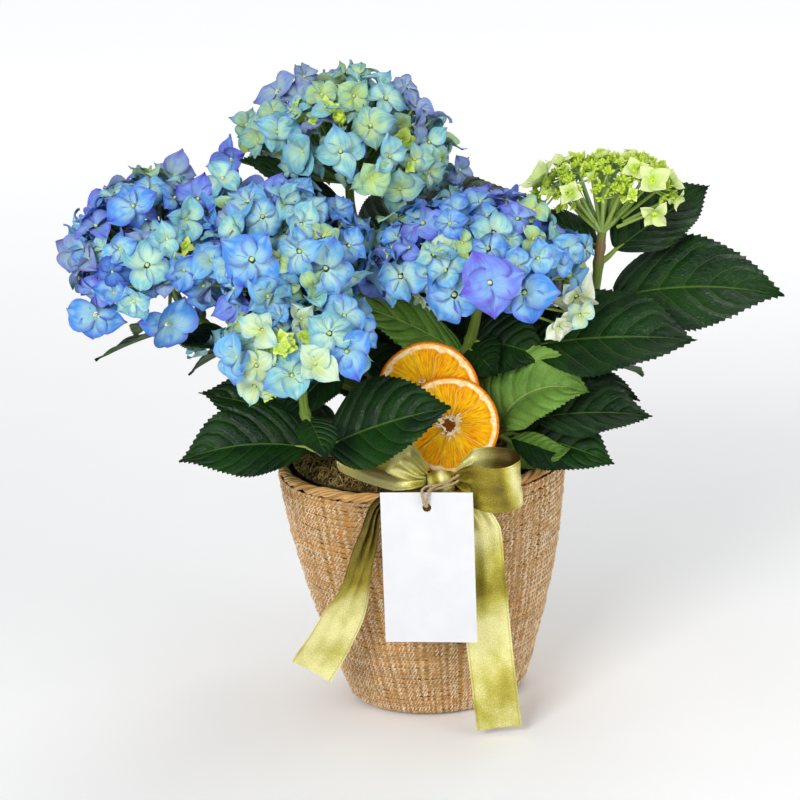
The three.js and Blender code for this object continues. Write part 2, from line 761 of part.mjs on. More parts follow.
// The twine comes down over the card's top edge, goes through the hole just under its upper edge and
// climbs behind the card. Its two ends tuck in at the knot.
function twineLoop() {
  const { x, y, z } = CARD_HANG;
  const through = z + CARD_HOLE - TWINE_RADIUS - GAP * 1.5;
  const knotFront = KNOT.y - KNOT_SIZE[1];
  const knotFoot = KNOT.z - KNOT_SIZE[2];
  const over = z + HOLE_DROP + TWINE_RADIUS + 0.5;
  const route = new THREE.CatmullRomCurve3([
    [x + 8, knotFront - 0.8, over],
    [x + 4, y + 2.4, over + 0.3],
    [x + 2, y - 1, over],
    [x + 1, y - 2.2, over - 2.6],
    [x, y - 2.2, through + 1.6],
    [x, y - 1, through],
    [x, y + 1, through],
    [x + 0.4, y + 2.4, through + 1.6],
    [x + 3.5, y + 4.2, knotFoot - 1.6],
    [x + 7, knotFront - 0.6, knotFoot + 0.4],
  ].map(vector), false, 'centripetal');
  return limb(route, () => TWINE_RADIUS, 6, 26);
}

// Finishes
const FINISHES = {
  seagrass: { color: '#b98f56', roughness: 0.85 },
  moss: { color: '#5a4a2c', roughness: 1 },
  bark: { color: '#6c6a3a', roughness: 0.8 },
  leaf: { color: '#1f4a22', roughness: 0.4 },
  blossom: { color: '#6f9bdc', roughness: 0.6 },
  bud: { color: '#b5d453', roughness: 0.6 },
  orange: { color: '#e08a1c', roughness: 0.6 },
  satin: { color: '#a8a12c', roughness: 0.35 },
  card: { color: '#f4f4f2', roughness: 0.7 },
  twine: { color: '#b09a78', roughness: 0.9 },
};

function namedMesh(name, geometry, finish) {
  const material = new THREE.MeshStandardMaterial({ ...FINISHES[finish], metalness: 0 });
  const mesh = new THREE.Mesh(geometry, material);
  mesh.name = name;
  return mesh;
}

// Assembly: every finished solid is kept by name, so that what grows later stays clear of it

const whole = new THREE.Group();
const placed = [];
const keep = (name, solid) => placed.push({ name, solid });

const basket = new THREE.Group();
for (const [name, shape, finish] of [
  ['basket', basketShell(), 'seagrass'],
  ['rim_braid', rimBraid(), 'seagrass'],
  ['moss_bed', mossBed(), 'moss'],
]) {
  basket.add(namedMesh(name, welded(shape), finish));
  keep(name, solidOf(shape));
}
whole.add(basket);

const oranges = new THREE.Group();
for (const [name, radius, place] of [
  ['orange_slice_front', SLICE_RADIUS, frontSlicePlace()],
  ['orange_slice_back', BACK_SLICE_RADIUS, backSlicePlace()],
]) {
  const slice = namedMesh(name, welded(orangeSlice(radius)), 'orange');
  slice.rotation.x = SLICE_TILT;
  slice.position.copy(place);
  slice.updateMatrixWorld();
  oranges.add(slice);
  keep(name, solidOf(slice.geometry.clone().applyMatrix4(slice.matrixWorld)));
}
whole.add(oranges);

const bow = new THREE.Group();
const knot = namedMesh('ribbon_knot', welded(knotBody()), 'satin');
knot.position.copy(KNOT);
bow.add(knot);
for (const [name, band] of Object.entries(BOW)) {
  bow.add(namedMesh(name, welded(ribbonBand(band)), 'satin'));
}
whole.add(bow);

const tag = new THREE.Group();
const card = namedMesh('blank_card', welded(blankCard()), 'card');
card.position.copy(CARD_HANG);
card.rotation.set(0, CARD_ROLL, CARD_YAW, 'ZYX');
tag.add(card);
tag.add(namedMesh('twine_loop', welded(twineLoop()), 'twine'));
whole.add(tag);

const plant = new THREE.Group();
const stem = mainStem();
plant.add(namedMesh('main_stem', geometryOf(stem), 'bark'));
keep('main_stem', stem);

// All limbs are kept first, so that no leaf or floret of one shoot grows into the limb of another.
for (const shoot of SHOOTS) {
  const gap = shareOf(shoot, GAP);
  const bough = solidOf(shootLimb(shoot, shareOf(shoot, STUB) + gap, shoot.bare, LIMB_SIDES, 5));
  plant.add(namedMesh(`bough_${shoot.name}`, geometryOf(bough), 'bark'));
  keep(`bough_${shoot.name}`, bough);
  shoot.stem = solidOf(shootLimb(shoot, shoot.bare + gap, shoot.leafy, LIMB_SIDES, 4));
  keep(`leaves_${shoot.name}`, shoot.stem);
  if (shoot.head) {
    shoot.stalk = solidOf(shootLimb(shoot, shoot.leafy + gap, 1, LIMB_SIDES, 2));
    keep(`bloom_${shoot.name}`, shoot.stalk);
  }
}

const touchesOthers = (name, solid) => placed.some((other) => (
  other.name !== name && !other.solid.intersect(solid).isEmpty()
));

const blooming = SHOOTS.filter((shoot) => shoot.head);
const heads = blooming.map((shoot) => shoot.head);
for (const head of heads) head.coreSolid = solidOf(headCore(head));

// A leaf that would touch another shoot, or grow into a head's core, is skipped.
for (const shoot of SHOOTS) {
  const name = `leaves_${shoot.name}`;
  const route = routeOf(shoot);
  const grown = [shoot.stem];
  for (const spec of shoot.leaves) {
    const node = route.getPointAt(Math.min(spec.at, shoot.leafy - 0.01));
    const wide = leafSolid(spec, node, CLEARANCE);
    const inCore = heads.some((head) => !head.coreSolid.intersect(wide).isEmpty());
    if (inCore || touchesOthers(name, wide)) continue;
    const solid = leafSolid(spec, node);
    grown.push(solid);
    keep(name, solid);
  }
  plant.add(namedMesh(name, geometryOf(fused(grown)), 'leaf'));
}

// A floret steps in towards the head's middle until it fits, and is skipped where it never does.
for (const { name: shootName, head, stalk } of blooming) {
  const name = `bloom_${shootName}`;
  const grown = [stalk, head.coreSolid];
  for (const place of floretPlaces(head)) {
    const fits = () => {
      const wide = floretSolid(head, place, CLEARANCE);
      return insideOwnSpace(head, heads, wide) && !touchesOthers(name, solidOf(wide));
    };
    while (!fits() && place.out > FLORET_DEPTH.least) place.out -= FLORET_DEPTH.step;
    if (fits()) grown.push(solidOf(floretSolid(head, place)));
  }
  const bloom = fused(grown);
  keep(name, bloom);
  plant.add(namedMesh(name, geometryOf(bloom), shootName === 'bud' ? 'bud' : 'blossom'));
}
whole.add(plant);

export default whole;
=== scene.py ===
# %% [markdown]
# # A potted hydrangea in a coiled basket
# The plant stands in a seagrass basket with a satin bow, two dried orange slices and a bare card.
# It could be sculpted freely or scattered with particles. Here each part is grown by a short rule
# from named sizes, so that every leaf and floret stays a real mesh and the same seed gives it again.

import math

import bpy
import numpy as np
from mathutils import Matrix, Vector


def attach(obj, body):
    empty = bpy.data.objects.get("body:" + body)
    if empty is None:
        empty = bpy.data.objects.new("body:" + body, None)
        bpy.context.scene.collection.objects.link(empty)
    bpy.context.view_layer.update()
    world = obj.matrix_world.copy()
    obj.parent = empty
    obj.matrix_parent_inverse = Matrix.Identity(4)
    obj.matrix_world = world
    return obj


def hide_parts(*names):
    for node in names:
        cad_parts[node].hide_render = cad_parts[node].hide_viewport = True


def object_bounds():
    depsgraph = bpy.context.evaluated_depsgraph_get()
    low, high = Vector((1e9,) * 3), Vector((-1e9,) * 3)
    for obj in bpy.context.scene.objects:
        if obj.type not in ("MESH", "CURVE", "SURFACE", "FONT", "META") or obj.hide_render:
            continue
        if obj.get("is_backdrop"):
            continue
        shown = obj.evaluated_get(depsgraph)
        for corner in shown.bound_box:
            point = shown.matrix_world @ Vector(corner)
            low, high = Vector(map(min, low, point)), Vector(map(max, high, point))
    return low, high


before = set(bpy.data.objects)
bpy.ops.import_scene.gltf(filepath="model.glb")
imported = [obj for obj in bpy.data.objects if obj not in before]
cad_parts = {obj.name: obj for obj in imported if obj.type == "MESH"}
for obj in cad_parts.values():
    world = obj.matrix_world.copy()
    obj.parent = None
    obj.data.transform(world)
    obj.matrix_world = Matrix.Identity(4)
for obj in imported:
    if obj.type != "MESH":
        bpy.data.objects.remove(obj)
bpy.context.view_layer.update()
MM = 0.001
TAU = 2 * np.pi
UP = np.array([0, 0, 1.0])
collection = bpy.context.scene.collection

# %% [markdown]
# ## Camera, light and floor
# The camera stands where the photograph's did: a long lens, 15.5 degrees above the horizon and
# turned a little about its own axis. The picture is high key, so a white surround and three soft
# lamps light the plant.

# %% Camera
ELEVATION = math.radians(15.5)
ROLL = math.radians(4.3)
LENS = 115.1
CAMERA_PLACE = np.array([-9.78, -1400.78, 561.93])

forward = np.array([0, math.cos(ELEVATION), -math.sin(ELEVATION)])
level_up = np.array([0, math.sin(ELEVATION), math.cos(ELEVATION)])
level_right = np.array([1.0, 0, 0])
view_right = math.cos(ROLL) * level_right - math.sin(ROLL) * level_up
view_up = math.sin(ROLL) * level_right + math.cos(ROLL) * level_up

camera = bpy.data.objects.new("camera", bpy.data.cameras.new("camera"))
camera.data.lens = LENS
camera.data.sensor_width = 36
camera.data.clip_start, camera.data.clip_end = 0.05, 30
turn = np.eye(4)
turn[:3] = np.stack([view_right, view_up, -forward, CAMERA_PLACE * MM], 1)
camera.matrix_world = Matrix(turn.tolist())
collection.objects.link(camera)
bpy.context.scene.camera = camera
bpy.context.scene.view_settings.view_transform = "Standard"
print("camera at", CAMERA_PLACE, "mm, lens", LENS)

# %% Surround and lamps
SURROUND = {"light": ((0.97, 0.98, 1, 1), 0.5), "picture": ((1, 1, 1, 1), 1.0)}
LAMPS = {
    "key": ((-0.75, -1.6, 1.1), 0.75, 22.5),
    "fill": ((1.2, -1.2, 0.6), 1.1, 8),
    "rear": ((0.5, 1.1, 1.5), 0.9, 9),
}

world = bpy.data.worlds.new("surround")
bpy.context.scene.world = world
world.use_nodes = True
sky = world.node_tree
pick = sky.nodes.new("ShaderNodeMixShader")
ray = sky.nodes.new("ShaderNodeLightPath")
sky.links.new(ray.outputs["Is Camera Ray"], pick.inputs[0])
backgrounds = [sky.nodes["Background"], sky.nodes.new("ShaderNodeBackground")]
for place, (background, (colour, strength)) in enumerate(zip(backgrounds, SURROUND.values())):
    background.inputs["Color"].default_value = colour
    background.inputs["Strength"].default_value = strength
    sky.links.new(background.outputs[0], pick.inputs[place + 1])
sky.links.new(pick.outputs[0], sky.nodes["World Output"].inputs[0])

for name, (place, side, watts) in LAMPS.items():
    lamp = bpy.data.lights.new(name, "AREA")
    lamp.size, lamp.energy = side, watts
    holder = bpy.data.objects.new(name, lamp)
    holder.location = place
    aim = Matrix.Translation((0, 0, 0.2)).translation - holder.location
    holder.rotation_euler = aim.to_track_quat("-Z", "Y").to_euler()
    collection.objects.link(holder)
print("lamps:", list(LAMPS))

# %% [markdown]
# ## Helpers
# Three things come back all the time: a grid of points that becomes a skin, a strand that follows
# a path, and a soft shader made of noise. Each has its helpers here. A shader's numbers are wires,
# and a sign between two wires adds the node that works it out.

# %% Wires and nodes


def add(tree, kind, inputs=None, **settings):
    """A node with its settings and its inputs, each a wire or a value."""
    node = tree.nodes.new(kind)
    for key, value in settings.items():
        setattr(node, key, value)
    for key, value in (inputs or {}).items():
        if isinstance(value, Wire):
            tree.links.new(value.socket, node.inputs[key])
        else:
            node.inputs[key].default_value = value
    return node


def wire(tree, kind, inputs=None, output=0, **settings):
    return Wire(add(tree, kind, inputs, **settings).outputs[output])


def sign(operation, turned=False):
    def reckon(self, other=0.0):
        pair = (other, self) if turned else (self, other)
        return wire(self.tree, "ShaderNodeMath", dict(enumerate(pair)), operation=operation)

    return reckon


class Wire:
    """A node's output, which can be reckoned with as a number."""

    def __init__(self, socket):
        self.socket, self.tree = socket, socket.id_data

    __add__, __sub__, __rsub__ = sign("ADD"), sign("SUBTRACT"), sign("SUBTRACT", turned=True)
    __mul__, __abs__ = sign("MULTIPLY"), sign("ABSOLUTE")
    fraction, larger, bearing = sign("FRACT"), sign("MAXIMUM"), sign("ARCTAN2")


def parts_of(vector):
    return [Wire(part) for part in add(vector.tree, "ShaderNodeSeparateXYZ", {0: vector}).outputs]


# %% Colours and patterns


def tone(red, green, blue):
    """A screen colour from 0 to 255 as the linear colour that a shader works in."""
    shares = np.array([red, green, blue]) / 255
    linear = np.where(shares <= 0.04045, shares / 12.92, ((shares + 0.055) / 1.055) ** 2.4)
    return (*[float(x) for x in linear], 1.0)


def step(value, low, high, first=0.0, last=1.0):
    """Rises smoothly from `first` at `low` to `last` at `high`."""
    inputs = {0: value, 1: low, 2: high, 3: first, 4: last}
    return wire(value.tree, "ShaderNodeMapRange", inputs, interpolation_type="SMOOTHSTEP")


def mix(factor, a, b):
    """From one colour to the other, each a wire or a screen colour."""
    a, b = (tone(*colour) if isinstance(colour, tuple) else colour for colour in (a, b))
    tree = next(value.tree for value in (factor, a, b) if isinstance(value, Wire))
    return wire(tree, "ShaderNodeMix", {0: factor, 6: a, 7: b}, 2, data_type="RGBA")


def ramp(value, *stops):
    """Colours along a value: each stop is a place and a screen colour."""
    node = add(value.tree, "ShaderNodeValToRGB", {0: value})
    band = node.color_ramp
    while len(band.elements) < len(stops):
        band.elements.new(0.5)
    for element, (place, colour) in zip(band.elements, stops):
        element.position, element.color = place, tone(*colour)
    return Wire(node.outputs[0])


def noise(vector, scale, detail=3.0, roughness=0.55):
    inputs = {"Vector": vector, "Scale": scale, "Detail": detail, "Roughness": roughness}
    return wire(vector.tree, "ShaderNodeTexNoise", inputs)


def stretched(vector, across, along):
    inputs = {0: vector, 1: (across, along, 1)}
    return wire(vector.tree, "ShaderNodeVectorMath", inputs, operation="MULTIPLY")


def streaks(vector, across, along, detail=3.0, roughness=0.55):
    return noise(stretched(vector, across, along), 1.0, detail, roughness)


class Finish:
    """A new material: what its pattern can read, and its Principled shader."""

    def __init__(self, name, roughness=0.6, specular=0.5):
        self.material = bpy.data.materials.new(name)
        self.material.use_nodes = True
        self.tree = self.material.node_tree
        self.shader = self.tree.nodes["Principled BSDF"]
        self.shader.inputs["Roughness"].default_value = roughness
        self.shader.inputs["Specular IOR Level"].default_value = specular

    def place(self):
        return wire(self.tree, "ShaderNodeTexCoord", output="Object")

    def chart(self, name):
        return wire(self.tree, "ShaderNodeUVMap", uv_map=name)

    def value(self, name):
        return wire(self.tree, "ShaderNodeAttribute", output="Fac", attribute_name=name)

    def join(self, value, name):
        self.tree.links.new(value.socket, self.shader.inputs[name])

    def paint(self, colour, height=None, depth=0.0005, strength=1.0):
        """Gives the shader its colour and its bumps, which are `depth` metres deep."""
        self.join(colour, "Base Color")
        if height:
            inputs = {"Height": height, "Distance": depth, "Strength": strength}
            self.join(wire(self.tree, "ShaderNodeBump", inputs), "Normal")
        return self.material


# %% Skins: grids of points gathered into one mesh


def unit(vectors):
    return vectors / np.maximum(np.linalg.norm(vectors, axis=-1, keepdims=True), 1e-9)


def polar(far, angle, up):
    """Points at a distance from the middle, at an angle round it and at a height."""
    return np.stack(np.broadcast_arrays(far * np.cos(angle), far * np.sin(angle), up), -1)


def chart(across, down):
    """The map of a grid, from its values across the columns and down the rows."""
    return np.stack(np.meshgrid(across, down), -1)


def corners(index):
    """The four corners of each cell of a grid of numbers."""
    sides = [index[:-1, :-1], index[:-1, 1:], index[1:, 1:], index[1:, :-1]]
    return np.stack(sides, -1).reshape(-1, 4)


def declare(piece, slot, *nodes):
    """Ties a finished piece to the frame, and prints its size."""
    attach(piece, "root")
    if nodes:
        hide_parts(*nodes)
    print(f"{piece.name}: {sum(len(face.vertices) - 2 for face in piece.data.polygons)} triangles")


class Skin:
    """Gathers grids of points in mm, with a map, a bake cell and a finish each, into one mesh."""

    def __init__(self, uv_name, cells=(1, 1)):
        self.uv_name, self.cells, self.count, self.values = uv_name, cells, 0, {}
        self.points, self.faces, self.uvs, self.bakes, self.finishes = [], [], [], [], []

    def grid(self, points, uv, cell=(0, 0), finish=0, wrap=False, flip=False, **values):
        rows, columns = points.shape[:2]
        index = np.arange(rows * columns).reshape(rows, columns)
        if wrap:
            index = np.c_[index, index[:, :1]]
        quads = corners(index) + self.count
        loops = uv.reshape(-1, 2)[corners(np.arange(index.size).reshape(index.shape))]
        if flip:
            quads, loops = quads[:, ::-1], loops[:, ::-1]
        own = loops - np.floor(loops.min((0, 1)))
        self.points.append(points.reshape(-1, 3))
        self.faces.append(quads)
        self.uvs.append(loops.reshape(-1, 2))
        self.bakes.append(((np.array(cell) + np.clip(own, 0, 1)) / self.cells).reshape(-1, 2))
        self.finishes.append(np.full(len(quads), finish))
        for key, value in values.items():
            self.values.setdefault(key, []).append(np.broadcast_to(value, (rows, columns)).ravel())
        self.count += rows * columns

    def make(self, name, materials, slot=None, *nodes):
        points, faces = np.concatenate(self.points) * MM, np.concatenate(self.faces)
        mesh = bpy.data.meshes.new(name)
        mesh.vertices.add(len(points))
        mesh.vertices.foreach_set("co", points.ravel())
        mesh.loops.add(faces.size)
        mesh.loops.foreach_set("vertex_index", faces.ravel())
        mesh.polygons.add(len(faces))
        mesh.polygons.foreach_set("loop_start", np.arange(len(faces)) * 4)
        mesh.polygons.foreach_set("material_index", np.concatenate(self.finishes))
        mesh.polygons.foreach_set("use_smooth", np.ones(len(faces), bool))
        mesh.update(calc_edges=True)
        for key, uvs in ((self.uv_name, self.uvs), ("OFBake", self.bakes)):
            mesh.uv_layers.new(name=key).data.foreach_set("uv", np.concatenate(uvs).ravel())
        for key, values in self.values.items():
            mesh.attributes.new(key, "FLOAT", "POINT").data.foreach_set("value", np.concatenate(values))
        for material in materials:
            mesh.materials.append(material)
        piece = bpy.data.objects.new(name, mesh)
        collection.objects.link(piece)
        if slot:
            declare(piece, slot, *nodes)
        return piece


def frames_along(points):
    """Directions along a path, and two across it that turn as little as they can."""
    tangents = unit(np.gradient(points, axis=0))
    normals = [unit(np.cross(tangents[0], [0.31, 0.17, 0.93]))]
    for tangent in tangents[1:]:
        normals.append(unit(normals[-1] - np.dot(normals[-1], tangent) * tangent))
    return tangents, np.array(normals), np.cross(tangents, normals)


def tube(points, radii, sides):
    """A grid of points round a path. radii is one number a ring, or one a point."""
    _, normals, binormals = frames_along(points)
    turns = (np.arange(sides) / sides * TAU)[None, :, None]
    ring = np.cos(turns) * normals[:, None] + np.sin(turns) * binormals[:, None]
    radii = np.asarray(radii, float)
    return points[:, None] + ring * radii.reshape(len(points), -1)[..., None]


def tube_map(points, sides):
    """The tube's own map: round it, and its length in metres times 10."""
    runs = np.r_[0, np.cumsum(np.linalg.norm(np.diff(points, axis=0), axis=1))] * MM * 10
    return chart(np.linspace(0, 1, sides + 1), runs)


def blended(count, width, rng):
    """Smooth noise on a ring of `count` places, with waves about `width` places long."""
    raw = rng.normal(size=count)
    waves = np.fft.rfftfreq(count) * width
    calm = np.fft.irfft(np.fft.rfft(raw) * np.exp(-((waves / 0.6) ** 2)), count)
    return calm / max(np.abs(calm).max(), 1e-9)


def blended_rows(rows, count, width, rng):
    return np.array([blended(count, width, rng) for _ in range(rows)])


# %% Strands: Geometry Nodes sweep a round profile along every path
sweep = bpy.data.node_groups.new("sweep", "GeometryNodeTree")
sockets = {}
for label, way, kind in (
    ("Geometry", "INPUT", "Geometry"), ("Sides", "INPUT", "Int"), ("Finish", "INPUT", "Material"),
    ("Geometry", "OUTPUT", "Geometry"),
):
    sockets[label] = sweep.interface.new_socket(label, in_out=way, socket_type="NodeSocket" + kind)
sockets["Sides"].min_value = 3


def stored(geometry, name, value, domain, kind="FLOAT"):
    inputs = {"Geometry": geometry, "Name": name, "Value": value}
    return wire(sweep, "GeometryNodeStoreNamedAttribute", inputs, data_type=kind, domain=domain)


def recalled(name):
    return wire(sweep, "GeometryNodeInputNamedAttribute", {"Name": name}, data_type="FLOAT")


entry = add(sweep, "NodeGroupInput")
given, sides, look = (Wire(entry.outputs[label]) for label in ("Geometry", "Sides", "Finish"))
number = wire(sweep, "GeometryNodeInputIndex")
dealt = wire(sweep, "FunctionNodeRandomValue", {"ID": number, "Seed": 7}, 1, data_type="FLOAT")
spline = add(sweep, "GeometryNodeSplineParameter")
paths = stored(given, "strand", dealt, "CURVE")
paths = stored(paths, "along", Wire(spline.outputs["Length"]), "POINT")
circle = wire(sweep, "GeometryNodeCurvePrimitiveCircle", {"Resolution": sides, "Radius": 1.0})
profile = stored(circle, "around", Wire(spline.outputs["Factor"]), "POINT")
swept = wire(sweep, "GeometryNodeCurveToMesh", {
    "Curve": paths, "Profile Curve": profile, "Scale": wire(sweep, "GeometryNodeInputRadius"),
    "Fill Caps": True,
})
smooth = wire(sweep, "GeometryNodeSetShadeSmooth", {"Geometry": swept})
pair = wire(sweep, "ShaderNodeCombineXYZ", {0: recalled("around"), 1: recalled("along")})
mapped = stored(smooth, "strand_map", pair, "CORNER", "FLOAT2")
dressed = wire(sweep, "GeometryNodeSetMaterial", {"Geometry": mapped, "Material": look})
add(sweep, "NodeGroupOutput", {0: wire(sweep, "GeometryNodeRealizeInstances", {"Geometry": dressed})})


def strands(name, paths, radii, sides, material, slot, *nodes, closed=False):
    """One mesh of strands. Each path is points in mm, each radius a number or one a point."""
    curve = bpy.data.curves.new(name + "_paths", "CURVE")
    curve.dimensions = "3D"
    for path, radius in zip(paths, radii):
        line = curve.splines.new("POLY")
        line.points.add(len(path) - 1)
        line.points.foreach_set("co", np.c_[path * MM, np.ones(len(path))].ravel())
        line.points.foreach_set("radius", np.broadcast_to(np.asarray(radius) * MM, len(path)).copy())
        line.use_cyclic_u = closed
    guide = bpy.data.objects.new(name + "_paths", curve)
    collection.objects.link(guide)
    modifier = guide.modifiers.new("sweep", "NODES")
    modifier.node_group = sweep
    modifier[sockets["Sides"].identifier] = sides
    modifier[sockets["Finish"].identifier] = material
    graph = bpy.context.evaluated_depsgraph_get()
    mesh = bpy.data.meshes.new_from_object(guide.evaluated_get(graph), depsgraph=graph)
    mesh.name = name
    bpy.data.objects.remove(guide)
    bpy.data.curves.remove(curve)
    piece = bpy.data.objects.new(name, mesh)
    collection.objects.link(piece)
    declare(piece, slot, *nodes)


# %% Routes: the curve that the CAD model's limbs and ribbons follow


class Route:
    """A centripetal Catmull-Rom curve through points, measured by length."""

    def __init__(self, points, fine=48):
        knots = np.array(points, float)
        knots = np.vstack([2 * knots[0] - knots[1], knots, 2 * knots[-1] - knots[-2]])
        t = np.linspace(0, 1, fine, endpoint=False)[:, None]
        runs = []
        for a, b, c, d in zip(knots, knots[1:], knots[2:], knots[3:]):
            before, here, after = (math.sqrt(np.linalg.norm(q - p)) for p, q in ((a, b), (b, c), (c, d)))
            leave = ((b - a) / before - (c - a) / (before + here) + (c - b) / here) * here
            reach = ((c - b) / here - (d - b) / (here + after) + (d - c) / after) * here
            cubic, square = 2 * b - 2 * c + leave + reach, -3 * b + 3 * c - 2 * leave - reach
            runs.append(b + leave * t + square * t**2 + cubic * t**3)
        self.points = np.vstack([*runs, knots[-2:-1]])
        steps = np.linalg.norm(np.diff(self.points, axis=0), axis=1)
        self.length = steps.sum()
        self.shares = np.r_[0, np.cumsum(steps)] / self.length

    def at(self, share):
        share = np.clip(share, 0, 1)
        return np.stack([np.interp(share, self.shares, self.points[:, k]) for k in range(3)], -1)

    def along(self, share, reach):
        return unit(self.at(share + reach) - self.at(share - reach))


# %% [markdown]
# ## Basket
# A cord of dry grass is coiled up from the middle of the foot and held by a net of thin thread.
# The cord is one skin that bulges at every turn, because its grooves catch the light, and painted
# shade darkens the grooves. The threads are real strands over it.

# %% Basket sizes
BASKET_HEIGHT = 143
RIM_RADIUS = 82
FOOT_RADIUS = 50
BASE_RADIUS = 44
BELLY = 1.6
WALL_TOP = 137
COIL_PITCH = 2.9
COIL_DEPTH = 1.25
SAG = 0.34
AROUND = 340
COIL_SHAPE = [(0.0, 0.0), (0.17, 0.74), (0.5, 1.0), (0.83, 0.74)]

heights = np.linspace(3, WALL_TOP, 200)
wall_radius = RIM_RADIUS - (RIM_RADIUS - FOOT_RADIUS) * (1 - heights / BASKET_HEIGHT) ** BELLY
outline = np.vstack([
    [[2, 0.1], [BASE_RADIUS * 0.5, 0], [BASE_RADIUS - 1, 0]],
    [[BASE_RADIUS + 3, 0.8], [FOOT_RADIUS - 1.6, 2.2]],
    np.c_[wall_radius - 0.1, heights],
])
lengths = np.r_[0, np.cumsum(np.linalg.norm(np.diff(outline, axis=0), axis=1))]
turns_of_coil = int(lengths[-1] / COIL_PITCH)
coil_pitch = lengths[-1] / turns_of_coil


def on_outline(run):
    """Place and outward direction, both as (out, up), at a length along the basket's outline."""
    point, ahead, behind = (
        np.stack([np.interp(run + reach, lengths, outline[:, k]) for k in (0, 1)], -1)
        for reach in (0, 0.8, -0.8)
    )
    way = unit(ahead - behind)
    return point, np.stack([way[..., 1], -way[..., 0]], -1)


def pushed(point, outward, push, angle, lowest):
    """Points that lie `push` mm in front of the outline, and no lower than `lowest`."""
    out, up = (point + outward * push[:, None]).T
    return polar(out, angle, np.maximum(up, lowest))


print("turns of coil:", turns_of_coil)

# %% Coiled wall
rng = np.random.default_rng(11)
theta = np.arange(AROUND) / AROUND * TAU
sag, lumps, proud, pinch, worn = (
    blended_rows(turns_of_coil + 1, AROUND, width, rng) for width in (60, 10, 45, 4, 34)
)
wall, hollow, patch, runs = [], [], [], []
for k in range(turns_of_coil):
    for share, hump in COIL_SHAPE:
        drift = SAG * ((1 - share) * sag[k] + share * sag[k + 1])
        point, outward = on_outline(np.clip((k + share + drift) * coil_pitch, 0.3, lengths[-1] - 0.1))
        push = COIL_DEPTH * (hump - 1) * (0.8 + 0.6 * pinch[k]) + hump * (0.3 * lumps[k] + 0.36 * proud[k])
        push = np.where(point[:, 1] < 1.0, np.minimum(push, 0), push)
        wall.append(pushed(point, outward, push, theta, 0))
        # How much painted shade each row of the cord gets: most deep in the grooves between turns.
        hollow.append((1 - hump) * (0.66 + 1.4 * pinch[k]))
        patch.append(0.5 + 0.5 * worn[k])
        runs.append((k + share) * coil_pitch / lengths[-1])

# %% Dry grass


def grass(name, uv_name, across, along):
    """Fine fibres along the cord, in straw, tan and a little amber."""
    look = Finish(name, roughness=0.7, specular=0.3)
    uv = look.chart(uv_name)
    fibre = streaks(uv, across, along, 4, 0.75)
    blades = streaks(uv, across * 0.22, along * 0.45, 1)
    colour = ramp(
        fibre * 0.55 + blades * 0.45,
        (0.28, (136, 94, 48)), (0.42, (176, 128, 70)), (0.54, (208, 162, 94)), (0.72, (238, 206, 146)),
    )
    amber = step(noise(look.place(), 70, 2), 0.55, 0.68, 0, 0.7)
    return look, mix(amber, colour, (214, 146, 62)), fibre


look, colour, fibre = grass("coil_grass", "coil", 330, 560)
patch_tone = look.value("patch")
colour = mix(step(patch_tone, 0.62, 0.9, 0, 0.6), colour, (220, 158, 80))
colour = mix(step(patch_tone, 0.1, 0.34, 0.5, 0), colour, (184, 154, 116))
# Painted shade, dark brown, in the grooves between the turns.
colour = mix(step(look.value("hollow"), 0.34, 0.86), colour, (70, 44, 22))
coil_grass = look.paint(colour, fibre, depth=0.001)

skin = Skin("coil")
coil_map = chart(np.linspace(0, 1, AROUND + 1), runs)
skin.grid(np.array(wall), coil_map, wrap=True, hollow=np.array(hollow), patch=np.array(patch))
skin.make("basket_coil", [coil_grass], "seagrass", "basket")

# %% Net of thread
THREADS = 160
THREAD_RADIUS = 0.44
LEAN = 1.25
STITCH = [0.06, 0.5, 0.94]

look = Finish("net_thread", roughness=0.8, specular=0.25)
shade = noise(look.place(), 260, 2)
colour = ramp(shade, (0.32, (206, 168, 124)), (0.5, (238, 208, 168)), (0.68, (250, 232, 204)))
net_thread = look.paint(mix(step(look.value("strand"), 0.7, 0.95, 0, 0.5), colour, (206, 160, 114)))

paths, radii = [], []
first_turn = int(np.interp(BASE_RADIUS - 2, outline[:6, 0], lengths[:6]) / coil_pitch)
turn_runs = (np.arange(first_turn, turns_of_coil)[:, None] + np.array(STITCH)).ravel()
hump = np.interp(turn_runs % 1, [0, 0.17, 0.5, 0.83, 1], [0.12, 0.74, 1, 0.74, 0.12])
count = len(turn_runs)
slant = np.tile([-1, 0, 1], count // 3)
for k in range(THREADS):
    around_share = (k + rng.uniform(-0.12, 0.12)) / THREADS
    column = int(around_share * AROUND) % AROUND
    drift = SAG * np.interp(turn_runs, np.arange(turns_of_coil + 1), sag[:, column])
    point, outward = on_outline((turn_runs + drift) * coil_pitch)
    loose = 0.8 * blended(count, 4, rng) + 1.2 * blended(count, 60, rng)
    lift = 0.42 * proud[turn_runs.astype(int), column] * hump
    push = 0.75 * COIL_DEPTH * (hump - 1) + lift + 0.26 + 0.12 * blended(count, 3, rng)
    push = np.where(point[:, 1] < 1.5, np.minimum(push, -0.4), push)
    angle = around_share * TAU + (slant * LEAN + loose) / RIM_RADIUS
    paths.append(pushed(point, outward, push, angle, THREAD_RADIUS))
    radii.append(THREAD_RADIUS * (1 + 0.4 * blended(count, 6, rng)))
strands("basket_net", paths, radii, 3, net_thread, "seagrass")

# %% [markdown]
# ## Rope rim
# The last turn is a rope of three twisted bunches of grass. Three closed cores wind round one ring,
# so the lay of a rope comes by itself, and each core is wound in straws that show the fibres.

# %% Rope rim
ROPE_RADIUS = 79
ROPE_HEIGHT = 139.3
ROPE_OFFSET = 1.35
CORE_RADIUS = 1.3
STRAW_RADIUS = 0.62
CORES = 3
STRAWS = 8
ROPE_TURNS = 17
STRAW_TURNS = 9
ROPE_PLACES = 440

